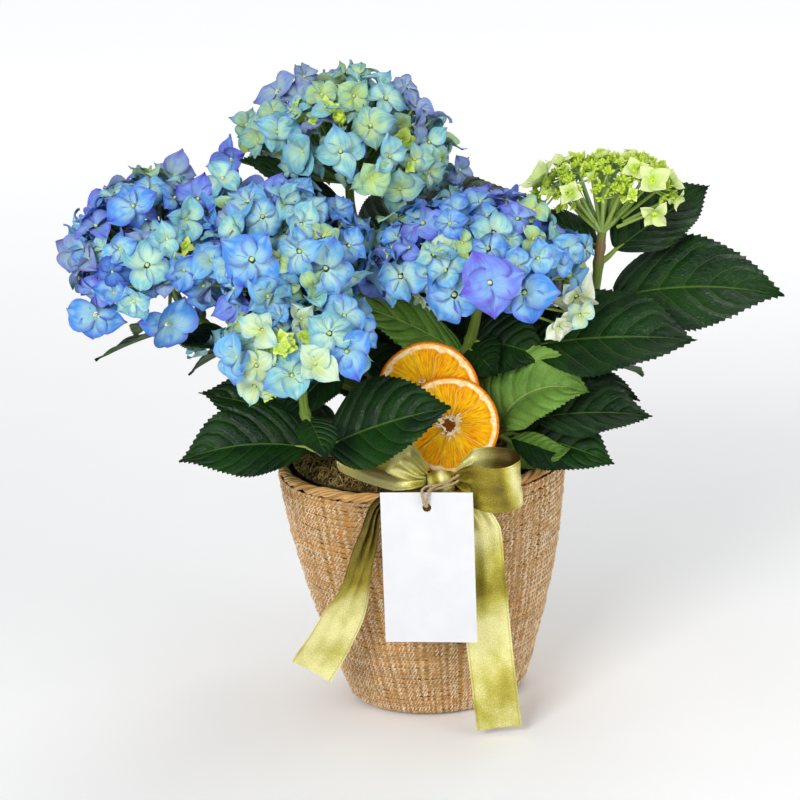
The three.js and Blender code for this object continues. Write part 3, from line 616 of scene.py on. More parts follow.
look, colour, fibre = grass("rope_grass", "strand_map", 3, 60)
dealt = look.value("strand")
colour = mix(0.15, colour, (226, 180, 112))
colour = mix(step(dealt, 0.5, 0.9, 0, 0.6), colour, (236, 200, 138))
colour = mix(step(dealt, 0.1, 0.4, 0.6, 0), colour, (150, 104, 56))
rope_grass = look.paint(colour, fibre, depth=0.0008, strength=0.9)


def uneven(amount, width):
    return amount * blended(ROPE_PLACES, width, rng)


paths, radii = [], []
ring = np.arange(ROPE_PLACES) / ROPE_PLACES * TAU
outward = polar(1, ring, 0)
for k in range(CORES):
    wind = ROPE_TURNS * ring + k * TAU / CORES + uneven(0.4, 120)
    out = ROPE_RADIUS + ROPE_OFFSET * np.cos(wind) + uneven(0.25, 45)
    middle = polar(out, ring, ROPE_HEIGHT + ROPE_OFFSET * np.sin(wind) + uneven(0.25, 40))
    paths.append(middle)
    radii.append(CORE_RADIUS * (1 + uneven(0.1, 26)))
    for straw in range(STRAWS):
        lay = (STRAW_TURNS * ring + straw * TAU / STRAWS + uneven(0.5, 60))[:, None]
        far = CORE_RADIUS * (1 + uneven(0.14, 14))[:, None]
        paths.append(middle + outward * far * np.cos(lay) + UP * far * np.sin(lay))
        radii.append(STRAW_RADIUS * (1 + uneven(0.25, 10)))
strands("rim_rope", paths, radii, 6, rope_grass, "seagrass", "rim_braid", closed=True)

# %% [markdown]
# ## Moss bed
# Dark compost shows between curled fibres of dry moss. A rough skin gives the depth, and loose
# strands on top of it give the tangle.

# %% Compost
MOSS_TOP = 146.5
MOSS_RADIUS = 73
EDGE_START = 66
EDGE_WIDTH = 8
BED_RINGS = 74
BED_PLACES = 200


def past_edge(far):
    """How far a place is down the bed's rounded edge."""
    return np.clip((far - EDGE_START) / EDGE_WIDTH, 0, 1) ** 1.5


look = Finish("compost", roughness=0.95, specular=0.15)
grain = noise(look.place(), 420, 4)
colour = ramp(grain, (0.3, (38, 30, 20)), (0.55, (80, 62, 40)), (0.8, (126, 102, 62)))
compost = look.paint(colour, grain, depth=0.001)

rings = np.linspace(0.5, MOSS_RADIUS, BED_RINGS)
theta = np.arange(BED_PLACES) / BED_PLACES * TAU
rise = 0
for size, amount in ((34, 0.9), (12, 0.7), (5, 0.5)):
    lumps = blended_rows(BED_RINGS, BED_PLACES, size, rng)
    rise = rise + amount * 0.2 * sum(np.roll(lumps, shift, 0) for shift in range(3))
skin = Skin("bed")
bed = polar(rings[:, None], theta, MOSS_TOP - 0.8 + rise - 5.5 * past_edge(rings)[:, None])
skin.grid(bed, chart(np.linspace(0, 1, BED_PLACES + 1), rings / MOSS_RADIUS), wrap=True, flip=True)
skin.make("moss_compost", [compost], "moss", "moss_bed")

# %% Moss
FIBRES = 3000
FIBRE_STEPS = 6

look = Finish("moss_fibre", roughness=0.9, specular=0.2)
moss_fibre = look.paint(ramp(
    look.value("strand"), (0.0, (110, 84, 48)), (0.3, (164, 134, 78)), (0.55, (192, 168, 104)),
    (0.75, (142, 136, 60)), (1.0, (214, 194, 138)),
))

paths, radii = [], []
t = np.linspace(0, 1, FIBRE_STEPS)
for _ in range(FIBRES):
    place = rng.uniform(0, TAU)
    from_middle = MOSS_RADIUS * rng.uniform(0.1, 1) ** 0.3
    heading = rng.uniform(0, TAU) + rng.uniform(-2.6, 2.6) * t
    size = rng.uniform(3, 8)
    x = from_middle * math.cos(place) + np.cumsum(np.cos(heading)) * size / FIBRE_STEPS
    y = from_middle * math.sin(place) + np.cumsum(np.sin(heading)) * size / FIBRE_STEPS
    far = np.hypot(x, y)
    keep = np.minimum(1, MOSS_RADIUS / far)
    level = MOSS_TOP - 1.1 - 5.2 * past_edge(far * keep)
    z = level + rng.uniform(0, 1.6) + np.sin(np.pi * t) * rng.uniform(0.2, 2.2)
    paths.append(np.stack([x * keep, y * keep, z], -1))
    radii.append(rng.uniform(0.2, 0.42) * (1 - 0.6 * t))
strands("moss_tangle", paths, radii, 3, moss_fibre, "moss")

# %% [markdown]
# ## Shoots
# Every shoot leaves the main stem, carries leaves as far as one share of its route and then holds
# its head. The same routes, leaves and heads stand in the CAD model, so the plant that is seen
# keeps to the reach of the one that is simulated.

# %% Shoots, leaves and heads


def leaf(at, turn, rise, stalk, length, droop, roll, fold=16, wide=0.66, fresh=False):
    """turn, rise, droop, roll and fold in degrees, stalk and length in mm."""
    turned = dict(turn=turn, rise=rise, droop=droop, roll=roll, fold=fold)
    angles = {key: math.radians(value) for key, value in turned.items()}
    return dict(at=at, stalk=stalk, length=length, wide=wide, fresh=fresh, **angles)


class Head:
    """A dome that reaches so far to its sides, its front and back, up and down from its middle."""

    def __init__(self, centre, reach, seed, fill):
        self.centre, self.reach, self.seed, self.fill = np.array(centre, float), reach, seed, fill

    def axes(self, offset):
        side, front, up, down = self.reach
        return np.where(offset[..., 2:] > 0, [side, front, up], [side, front, down])

    def out(self, direction, share):
        """The place at a share of the way to the dome, in a direction from the middle."""
        return self.centre + unit(direction) / np.linalg.norm(unit(direction) / self.axes(direction)) * share

    def dome(self, high, turn, share):
        """The place at an angle round the dome and at a height from -1 to 1."""
        way = polar(math.sin(math.acos(high)), turn, high)
        return self.centre + way * self.axes(way) * share

    def seen(self, right, up, share):
        """The place on the dome's near side that the camera sees at an offset from the middle."""
        aim = self.centre + view_right * right + view_up * up
        offsets = aim + unit(aim - CAMERA_PLACE) * np.linspace(-90, 60, 301)[:, None] - self.centre
        depth = np.linalg.norm(offsets / self.axes(offsets), axis=1)
        inside = depth <= share
        return self.centre + offsets[np.argmax(inside) if inside.any() else np.argmin(depth)]

    def normal(self, point):
        offset = point - self.centre
        return unit(offset / self.axes(offset) ** 2)


def shoot(route, leafy, leaves, head=None):
    return dict(route=Route(route), leafy=leafy, leaves=leaves, head=head)


SHOOTS = {
    "front": shoot(
        [[4, 2, 156], [-8, -16, 158], [-30, -40, 160], [-54, -62, 166], [-61, -76, 190], [-61, -82, 216]],
        0.83, [
            leaf(0.6, -177, 16, 9, 72, 34, -42, 20),
            leaf(0.62, -19, 25, 4, 76, 14, 48, 16, 0.72),
            leaf(0.83, -72, -14, 5, 33, 30, 0, 8),
        ], Head([-61, -84, 230], [45, 34, 28, 28], 4, 34),
    ),
    "right": shoot(
        [[5, 3, 170], [16, -4, 182], [28, -12, 200], [36, -22, 225], [38, -30, 248]],
        0.66, [
            leaf(0.44, -160, 40, 2, 84, 20, -40, 8, 0.46, fresh=True),
            leaf(0.42, -17, 10, 40, 94, 16, 36, 16),
            leaf(0.46, 10, 4, 8, 60, 26, 34),
            leaf(0.56, 62, 34, 10, 60, 36, 0),
        ], Head([38, -30, 259], [67, 55, 38, 36], 9, 58),
    ),
    "bud": shoot(
        [[5, 3, 166], [30, 4, 176], [76, 5, 196], [102, 6, 222], [109, 9, 250], [113, 10, 276]],
        0.86, [
            leaf(0.66, -12, 13, 14, 97, 28, 40, 12),
            leaf(0.7, 165, 26, 12, 66, 40, 0),
            leaf(0.8, 20, 29, 12, 68, 8, 34),
            leaf(0.9, 174, 40, 1, 42, 18, -30, wide=0.56),
            leaf(0.57, 72, 12, 16, 84, 56, 0),
            leaf(0.62, 128, 20, 12, 64, 44, 0),
        ], Head([114, 10, 284], [44, 38, 21, 15], 12, 0),
    ),
    "top": shoot(
        [[5, 4, 172], [0, 9, 186], [-10, 15, 212], [-22, 22, 252], [-29, 25, 280], [-29, 25, 300]],
        0.8, [
            leaf(0.93, -152, 46, 10, 74, 26, -30, 12, 0.5),
            leaf(0.7, 21, 14, 30, 78, 20, 24),
            leaf(0.62, 100, 22, 16, 86, 52, 0),
            leaf(0.58, 170, 30, 12, 66, 30, 0),
            leaf(0.66, 56, 36, 10, 60, 30, 0),
        ], Head([-29, 25, 308], [64, 60, 55, 30], 2, 62),
    ),
    "left_inner": shoot(
        [[4, 2, 168], [-8, -4, 178], [-30, -18, 200], [-50, -32, 228], [-64, -42, 256]],
        0.72, [
            leaf(0.58, -170, 36, 14, 62, 22, -26),
            leaf(0.6, 110, 20, 12, 74, 40, 0),
            leaf(0.66, -70, 18, 12, 40, 20, 0),
            leaf(0.64, 152, 30, 10, 54, 24, 0),
        ], Head([-68, -42, 268], [52, 50, 46, 38], 6, 50),
    ),
    "left_outer": shoot(
        [[4, 2, 162], [-12, 4, 170], [-48, 6, 188], [-96, -2, 212], [-126, -12, 240], [-133, -16, 260]],
        0.8, [
            leaf(0.8, -168, -4, 12, 52, 20, 12, wide=0.5),
            leaf(0.6, 118, 6, 16, 70, 44, 0),
            leaf(0.54, -135, 26, 12, 56, 14, -24),
            leaf(0.74, 138, 10, 12, 60, 44, 0),
        ], Head([-134, -16, 270], [57, 54, 50, 48], 15, 54),
    ),
    "back_left": shoot(
        [[4, 3, 166], [-6, 14, 174], [-34, 38, 190], [-64, 58, 208], [-78, 66, 228]],
        0.78, [
            leaf(0.56, 168, 14, 14, 84, 52, 0),
            leaf(0.7, 116, 6, 14, 88, 58, 0),
            leaf(0.6, 76, 34, 12, 50, 40, 0),
        ], Head([-80, 70, 240], [49, 48, 38, 34], 21, 44),
    ),
    "back_right": shoot(
        [[5, 3, 168], [12, 16, 176], [24, 44, 190], [34, 68, 204], [40, 80, 222]],
        0.78, [
            leaf(0.6, 24, 14, 14, 88, 54, 0),
            leaf(0.58, 128, 18, 14, 80, 56, 0),
            leaf(0.72, 80, 4, 14, 88, 60, 0),
            leaf(0.52, -24, 24, 14, 70, 40, 0),
            leaf(0.66, 150, 26, 10, 60, 40, 0),
        ], Head([40, 84, 232], [50, 48, 38, 34], 27, 44),
    ),
    "low_right": shoot(
        [[4, 2, 158], [16, -10, 160], [34, -26, 160], [47, -38, 164], [54, -42, 176]],
        1, [
            leaf(0.72, -20, 66, 2, 64, 90, 50, 28, 0.84, fresh=True),
            leaf(0.64, -27, -4, 14, 62, 18, 40, 18),
            leaf(0.86, -8, 8, 14, 66, 18, 30, 18),
            leaf(0.7, -36, -30, 10, 42, -60, 62, 40, 0.62, fresh=True),
        ],
    ),
    "low_back_right": shoot(
        [[4, 2, 160], [20, 8, 164], [46, 18, 164], [64, 22, 168]],
        1, [
            leaf(0.7, 8, 22, 24, 60, 14, 30),
            leaf(0.66, 46, -4, 14, 76, 40, 0),
            leaf(0.96, 30, 18, 12, 78, 54, 0),
            leaf(0.9, -12, 8, 10, 62, 30, 24),
        ],
    ),
    "low_left": shoot(
        [[4, 2, 158], [-12, 0, 161], [-36, -8, 162], [-56, -16, 168]],
        1, [
            leaf(0.9, 180, 22, 10, 66, 8, -34, 18),
            leaf(0.6, 160, 6, 16, 84, 52, 0),
            leaf(0.96, -140, 20, 8, 44, 20, -30),
        ],
    ),
    "low_back": shoot(
        [[4, 3, 158], [0, 16, 161], [-8, 36, 162], [-14, 54, 168]],
        1, [
            leaf(0.66, 136, 6, 16, 82, 50, 0),
            leaf(0.7, 68, 4, 16, 76, 50, 0),
            leaf(0.96, 100, 14, 10, 84, 58, 0),
            leaf(0.84, 22, 18, 10, 66, 44, 0),
            leaf(0.84, 176, 18, 10, 62, 44, 0),
        ],
    ),
}
# Leaves deep inside the plant, finer than the CAD masses show.
INNER_LEAVES = {
    "low_back": [leaf(0.5, 8, 52, 8, 72, 20, 50), leaf(0.6, -176, 44, 8, 62, 20, -50)],
    "low_back_right": [leaf(0.45, 2, 40, 8, 66, 20, 50)],
    "back_right": [leaf(0.5, 176, 4, 6, 62, 20, -50), leaf(0.5, 2, 6, 6, 62, 20, 48)],
    "top": [leaf(0.4, -172, 14, 6, 52, 20, -50), leaf(0.42, 4, 20, 6, 50, 20, 50)],
    "left_inner": [leaf(0.5, 8, -20, 5, 46, 10, 40), leaf(0.52, -150, -30, 5, 48, 10, -30)],
    "bud": [leaf(0.5, 176, 24, 6, 46, 20, -50)],
    "right": [leaf(0.55, -30, 2, 2, 46, 24, 52, wide=0.8), leaf(0.5, -66, -6, 2, 34, 20, 40, wide=0.8)],
}
print("shoots:", len(SHOOTS), "leaves:", sum(len(s["leaves"]) for s in SHOOTS.values()))

# %% Bark: green shoots that turn woody at the foot
look = Finish("bark", roughness=0.62, specular=0.35)
across, _, height = parts_of(look.place())
streak = streaks(look.chart("bark"), 30, 6, 4)
green = ramp(streak, (0.3, (74, 98, 30)), (0.55, (110, 134, 48)), (0.8, (150, 162, 86)))
wood = ramp(streak, (0.3, (62, 48, 30)), (0.55, (104, 82, 52)), (0.8, (140, 118, 84)))
colour = mix(step(height + streak * 0.02, 0.172, 0.2, 1, 0), green, wood)
reddish = step(abs(height - 0.2505), 0.003, 0.009, 0.75, 0.0) * step(across, 0.09, 0.1)
bark = look.paint(mix(reddish, colour, (140, 96, 74)), streak, depth=0.0004, strength=0.6)

# %% Main stem and boughs
TRUNK_FOOT = np.array([4, 2, 146.8])
TRUNK_LEAN = np.array([2, 3, 27])
TRUNK_RINGS, TRUNK_SIDES = 30, 20
BOUGH_RADIUS = 3.8
PEDUNCLE_RADIUS = 2.4
BOUGH_SIDES = 12


def relief(rings, sides, amount, rng):
    """Ridges that run along a limb."""
    ridges = blended_rows(max(2, rings // 12), sides, 4, rng)
    rows = np.linspace(0, len(ridges) - 1, rings)
    low = np.floor(rows).astype(int)
    share = (rows - low)[:, None]
    high = np.minimum(low + 1, len(ridges) - 1)
    return 1 + amount * (ridges[low] * (1 - share) + ridges[high] * share)


def joint_of(shoot, spec):
    """Where a leaf joins its shoot."""
    return min(spec["at"], shoot["leafy"] - 0.01)


rng = np.random.default_rng(5)
skin = Skin("bark")
t = np.linspace(0, 1, TRUNK_RINGS)
axis = TRUNK_FOOT + TRUNK_LEAN * t[:, None]
axis[:, 0] += 0.5 * np.sin(5 * t)
radii = (6 * (1 - 0.15 * t) + 5 * (1 - t) ** 4)[:, None] * relief(TRUNK_RINGS, TRUNK_SIDES, 0.1, rng)
skin.grid(tube(axis, radii, TRUNK_SIDES), tube_map(axis, TRUNK_SIDES), wrap=True)
for bough in SHOOTS.values():
    route = bough["route"]
    t = np.linspace(0, 1, int(route.length / 2.2))
    radii = BOUGH_RADIUS + (PEDUNCLE_RADIUS - BOUGH_RADIUS) * t
    for spec in bough["leaves"]:
        radii = radii + 0.7 * np.exp(-(((t - joint_of(bough, spec)) * route.length / 2.6) ** 2))
    radii = np.minimum(radii, 4.4)[:, None] * relief(len(t), BOUGH_SIDES, 0.06, rng)
    radii[-1] *= 0.4
    skin.grid(tube(route.at(t), radii, BOUGH_SIDES), tube_map(route.at(t), BOUGH_SIDES), wrap=True)
skin.make("stems", [bark], "bark", "main_stem", *["bough_" + name for name in SHOOTS])

# %% [markdown]
# ## Leaves
# A leaf is a thin closed skin on the CAD leaf's own midrib: it is folded along that, its blade is
# quilted between sunk side veins, and its edge has teeth. Its finish reads the leaf's own map, so
# that each vein is drawn where the quilting has it.

# %% Vein pattern, for the shape and for the finish
SIDE_VEINS = 7
VEIN_SWEEP = 0.17
VEIN_CURVE = 0.15


def vein_phase(across, along):
    """Whole numbers lie on side veins. `across` is 0 at the midrib and 1 at the edge."""
    return (along - VEIN_SWEEP * across - VEIN_CURVE * across**2) * SIDE_VEINS


def from_middle(across):
    """0 in the middle of a map and 1 at its sides."""
    return abs(across - 0.5) * 2.0


veins = bpy.data.node_groups.new("leaf_veins", "ShaderNodeTree")
veins.interface.new_socket("Map", in_out="INPUT", socket_type="NodeSocketVector")
for label in ("Vein", "Height", "Net"):
    veins.interface.new_socket(label, in_out="OUTPUT", socket_type="NodeSocketFloat")
entry = wire(veins, "NodeGroupInput")
across, along, _ = parts_of(entry)
side = from_middle(across.fraction())
lean = side * VEIN_SWEEP + side * side * VEIN_CURVE
line = from_middle(((along + noise(entry, 7.0, 1) * 0.03 - lean) * float(SIDE_VEINS)).fraction())
side_vein = step(line, 0.93, 0.99) * step(side, 0.7, 1.0, 1.0, 0.1)
vein = side_vein.larger(step(side, 0.012, 0.036, 1.0, 0.0))
grid = {"Vector": stretched(entry, 22, 34), "Scale": 1.0}
cells = wire(veins, "ShaderNodeTexVoronoi", grid, "Distance", feature="DISTANCE_TO_EDGE")
net = step(cells, 0.02, 0.16, 1.0, 0.0)
height = step(line, 0.35, 1.0, 1.0, 0.0) - (vein + net * 0.18)
add(veins, "NodeGroupOutput", {0: vein, 1: height, 2: net})

# %% Leaf finishes
# Dark, light, net and vein tones, roughness, how much the veins show and how deep they lie.
LEAVES = {
    "leaf_dark": ((8, 32, 14), (22, 60, 10), (30, 70, 20), (100, 136, 56), 0.4, 0.5, 0.0008),
    "leaf_fresh": ((84, 126, 44), (118, 158, 66), (132, 170, 78), (176, 200, 118), 0.48, 0.55, 0.0008),
    "leaf_under": ((48, 76, 38), (74, 106, 54), (88, 120, 66), (130, 156, 96), 0.62, 0.6, 0.0006),
}
leaf_looks = []
for name, (dark, light, net_tone, vein_tone, roughness, vein_share, depth) in LEAVES.items():
    look = Finish(name, roughness=roughness, specular=0.24)
    pattern = add(look.tree, "ShaderNodeGroup", node_tree=veins)
    look.tree.links.new(look.chart("leaf").socket, pattern.inputs["Map"])
    vein, height, net = (Wire(output) for output in pattern.outputs)
    colour = mix(step(noise(look.place(), 38), 0.36, 0.68), dark, light)
    colour = mix(net * 0.3, colour, net_tone)
    colour = mix(vein * vein_share, colour, vein_tone)
    look.join(step(noise(look.place(), 210, 2), 0.4, 0.66, roughness + 0.1, roughness - 0.06), "Roughness")
    leaf_looks.append(look.paint(colour, height, depth=depth, strength=0.9))
print("leaf finishes:", list(LEAVES))

# %% One leaf
BLADE_ROWS = 85
BLADE_COLUMNS = 15
BLADE_THICKNESS = 0.5
TOOTH = [0.1, 0.5, 1.0]


def leaf_root(shoot, spec):
    node = shoot["route"].at(joint_of(shoot, spec))
    heading = polar(1, spec["turn"], 0)
    start = heading * math.cos(spec["rise"]) + UP * math.sin(spec["rise"])
    return node, node + start * spec["stalk"], heading, start


def blade(spec, root, heading, rng):
    """Upper and lower points of a leaf, and its map."""
    t = np.linspace(0.012, 1, BLADE_ROWS)[:, None]
    u = np.linspace(-1, 1, BLADE_COLUMNS)
    edge = np.abs(u)
    rise, droop, length = spec["rise"], spec["droop"], spec["length"]
    size = length / 80
    slope = rise - droop * t
    along = heading * np.cos(slope) + UP * np.sin(slope)
    rib = root + heading * (math.sin(rise) - np.sin(slope)) / droop * length
    rib = rib + UP * (np.cos(slope) - math.cos(rise)) / droop * length
    across = np.array([-heading[1], heading[0], 0])
    lift = np.cross(along, across)
    c, s = math.cos(spec["roll"]), math.sin(spec["roll"])
    edge_way, face_way = across * c + lift * s, lift * c - across * s
    shape = np.sin(np.pi * np.clip(t, 0, 1) ** 0.8) ** (0.8 + 0.75 * t**5)
    tooth = np.resize(TOOTH, BLADE_ROWS)[:, None] * rng.uniform(0.7, 1.2, BLADE_ROWS)[:, None]
    outer = edge**6 * tooth * np.clip(t / 0.2, 0, 1) * np.clip((1 - t) / 0.05, 0, 1)
    wave = 0
    for side in (-1, 1):
        ripple = np.sin(TAU * (t * rng.uniform(1.4, 2.4) + rng.uniform(0, 1)))
        wave = wave + 1.5 * size * ripple * (u * side > 0) * edge**2.2
    quilt = 0.34 * size * (0.5 - 0.5 * np.cos(TAU * vein_phase(edge, t))) * np.sin(np.pi * edge**0.8)
    quilt = quilt * np.sin(np.pi * t) ** 0.5
    tuck = -0.5 * size * np.exp(-((u / 0.08) ** 2))
    spread = (length * spec["wide"] / 2 * shape + 0.25) * u
    sideways = (spread + np.sign(u) * 1.3 * size * outer) * math.cos(spec["fold"])
    bowl = np.abs(spread) * math.sin(spec["fold"]) * (1 - 0.35 * edge**2)
    points = rib[:, None] + edge_way[:, None] * sideways[..., None]
    points = points + face_way[:, None] * (bowl + wave + quilt + tuck)[..., None]
    points = points + along[:, None] * (0.9 * size * outer)[..., None]
    thin = BLADE_THICKNESS * (0.35 + 0.65 * (1 - edge**4)) * np.clip(shape * 3, 0.2, 1)
    return points, points - face_way[:, None] * thin[..., None], chart((u + 1) / 2, t)


def add_leaf(skin, spec, root, heading, rng):
    upper, lower, uv = blade(spec, root, heading, rng)
    top = dict(cell=(int(spec["fresh"]), 0), finish=int(spec["fresh"]))
    skin.grid(upper, uv, flip=True, **top)
    skin.grid(lower, uv, cell=(2, 0), finish=2)
    for column in (0, -1):
        rim = np.stack([upper[:, column], lower[:, column]], 1)
        skin.grid(rim, np.stack([uv[:, column], uv[:, column]], 1), flip=column == 0, **top)


# %% All leaves and their stalks
rng = np.random.default_rng(31)
stalk_paths, stalk_radii = [], []
for name, bough in SHOOTS.items():
    skin = Skin("leaf", cells=(3, 1))
    for spec in bough["leaves"] + INNER_LEAVES.get(name, []):
        node, root, heading, start = leaf_root(bough, spec)
        add_leaf(skin, spec, root, heading, rng)
        t = np.linspace(0, 1, 8)[:, None]
        path = node + (root - node) * t - UP * 0.8 * np.sin(np.pi * t) * min(1, spec["stalk"] / 12)
        stalk_paths.append(np.vstack([path, root + start * spec["length"] * 0.1 - UP * 0.5]))
        stalk_radii.append(np.r_[np.linspace(2.1, 1.3, 8), 0.5])
    skin.make("foliage_" + name, leaf_looks, "leaf", "leaves_" + name)

look = Finish("leaf_stalk", roughness=0.5, specular=0.4)
streak = streaks(look.chart("strand_map"), 9, 60)
leaf_stalk = look.paint(ramp(streak, (0.3, (92, 122, 40)), (0.55, (132, 158, 62)), (0.8, (166, 184, 96))))
strands("leaf_stalks", stalk_paths, stalk_radii, 9, leaf_stalk, "leaf")

# %% [markdown]
# ## Flower heads
# A mophead is a dome of florets. Each floret has four broad sepals round a small bead, and stands on
# a thin stalk. Florets that face the viewer are placed by measured offsets from the head's middle,
# and the golden angle fills the rest of the dome, back and sides too.

# %% Sepal finishes
# Each tint in the sepal's heart, in its body and at its edge.
TINTS = {
    "cornflower": ((158, 204, 212), (72, 138, 216), (76, 88, 200)),
    "sky": ((178, 216, 200), (98, 168, 216), (80, 116, 206)),
    "aqua": ((188, 222, 190), (118, 184, 194), (92, 140, 206)),
    "teal": ((192, 216, 142), (126, 180, 168), (100, 138, 194)),
    "mint": ((188, 210, 122), (158, 198, 150), (114, 170, 182)),
    "lime": ((144, 176, 40), (178, 202, 84), (196, 214, 134)),
    "cream": ((196, 212, 142), (194, 218, 188), (140, 196, 210)),
    "white": ((196, 212, 130), (236, 240, 216), (226, 236, 232)),
    "periwinkle": ((138, 178, 222), (100, 124, 218), (100, 78, 196)),
    "lilac": ((156, 188, 192), (120, 144, 200), (110, 98, 180)),
    "deep": ((88, 138, 202), (54, 94, 186), (60, 64, 158)),
}
VARIANTS = 6
BEAD = len(TINTS)

sepal_looks = []
for name, (heart, body, edge) in TINTS.items():
    look = Finish("sepal_" + name, roughness=0.6, specular=0.25)
    uv = look.chart("petal")
    across, along, _ = parts_of(uv)
    side = from_middle(across.fraction())
    cloud = (noise(uv, 2.1, 2) - 0.5) * 1.3
    colour = mix(step(along + cloud, 0.05, 0.7, 0.95, 0.0), body, heart)
    far = along.larger(side * 0.95)
    colour = mix(step(far - cloud, 0.55, 1.05, 0.0, 0.95), colour, edge)
    colour = mix(step(streaks(uv, 2.3, 1.6, 1), 0.5, 0.72, 0, 0.5), colour, heart)
    fan = streaks(uv, 17, 1.2, 2, 0.6)
    colour = mix(step(fan, 0.45, 0.7, 0, 0.22), colour, tuple(min(255, c + 40) for c in body))
    colour = mix(step(fan, 0.3, 0.46, 0.3, 0), colour, tuple(c * 0.78 for c in edge))
    behind = wire(look.tree, "ShaderNodeNewGeometry", output="Backfacing")
    colour = mix(behind * 0.7, colour, tuple(c * 0.72 + 0.2 * sum(body) / 3 + 16 for c in body))
    sepal_looks.append(look.paint(colour, fan, depth=0.0007, strength=0.5))

look = Finish("bead", roughness=0.5)
dots = noise(look.place(), 900, 1)
sepal_looks.append(look.paint(ramp(dots, (0.35, (176, 196, 96)), (0.65, (222, 230, 180)))))
print("tints:", list(TINTS))

# %% One sepal and one floret
SEPAL_ROWS = 9
SEPAL_COLUMNS = 9


def sepal(length, width, rise, bend, cup, back, curl, crease, sway, ripple, turn, point):
    """Points of a sepal that lies along +X and faces +Z. Angles are in radians."""
    v = np.linspace(0.02, 1, SEPAL_ROWS)[:, None]
    u = np.linspace(-1, 1, SEPAL_COLUMNS)
    half = width / 2 * np.sin(np.pi * v**0.72) ** (0.68 + point * v) + 0.03 * width * (1 - v)
    slope = rise - bend * v + curl * np.clip(v - 0.55, 0, 1) ** 1.5 * 4
    run = length / (SEPAL_ROWS - 1)
    x, z = np.cumsum(np.cos(slope), 0) * run, np.cumsum(np.sin(slope), 0) * run
    bow = cup * (1 - v) - back * v + 1e-3
    y = half * np.sin(bow * u) / bow + sway * length * v**2
    lift = half * (1 - np.cos(bow * u)) / bow + crease * half * np.sin(np.pi * v) * np.abs(u)
    lift = lift + ripple * length * np.sin(4.2 * u + turn) * v**1.4
    return np.stack([x - lift * np.sin(slope), y, z + lift * np.cos(slope)], -1)


def facing(normal, spin):
    """Three directions: two in a floret's plane and its normal."""
    side = unit(np.cross(normal, [0.23, 0.11, 0.96]))
    other = np.cross(normal, side)
    c, s = math.cos(spin), math.sin(spin)
    return np.array([side * c + other * s, other * c - side * s, normal])


def ball(polar_angles, places, lobes=0.0):
    """Points round a small ball, with four lobes where it has any."""
    down = np.linspace(*polar_angles)[:, None]
    turns = np.arange(places) / places * TAU
    out = np.sin(down) * (1 + lobes * np.cos(4 * turns) * np.sin(down))
    return polar(out, turns, np.cos(down))


def add_sepal(skin, points, cell, finish, variant=0):
    rows, columns = points.shape[:2]
    uv = chart(np.linspace(0, 1, columns) + variant, np.linspace(0, 1, rows))
    skin.grid(points, uv, cell=cell, finish=finish, flip=True)


def add_floret(skin, centre, normal, spin, size, tint, rng, openness=1.0, star=0.5, coarse=False):
    """Four sepals in two crossed pairs, and a bead in the middle. A star has narrow, pointed ones."""
    star = np.clip(star + rng.normal(0, 0.25), 0, 1)
    steep = rng.uniform(0.4, 0.78) + 0.15 * star + (1 - openness) * 0.6
    thin = 2 if coarse else 1
    finish = list(TINTS).index(tint)
    for k in range(4):
        angle = spin + k * np.pi / 2 + rng.normal(0, 0.15)
        length = size * (1.0 if k % 2 else rng.uniform(0.84, 1.02)) * rng.uniform(0.88, 1.1)
        shape = sepal(
            length, length * (rng.uniform(1.08, 1.36) - 0.36 * star), steep + rng.normal(0, 0.27),
            rng.uniform(0.7, 1.9), rng.uniform(0.6, 1.7), rng.uniform(0.3, 1.7) * (0.45 + 0.55 * star),
            rng.uniform(-1.0, 1.0), rng.uniform(-0.26, 0.4) + 0.12 * star, rng.normal(0, 0.12),
            rng.uniform(0.02, 0.1), rng.uniform(0, 6.3), 0.2 + 0.75 * star,
        )[::thin, ::thin]
        points = centre + normal * (0.35 if k % 2 else -0.25) + shape @ facing(normal, angle)
        variant = int(rng.integers(VARIANTS))
        add_sepal(skin, points, (variant, finish), finish, variant)
    if not coarse:
        bead = ball((0.12, 2.4, 6), 8) * (0.45 + size * 0.045) @ facing(normal, 0)
        uv = chart(np.linspace(0.05, 0.95, 9), np.linspace(0.05, 0.95, 6))
        skin.grid(centre + normal * size * 0.1 + bead, uv, cell=(0, BEAD), finish=BEAD, wrap=True)


# %% Where florets stand
GOLDEN_ANGLE = math.pi * (3 - math.sqrt(5))
LOWEST_FLORET = math.radians(112)
OUTER_SHELL = 0.84

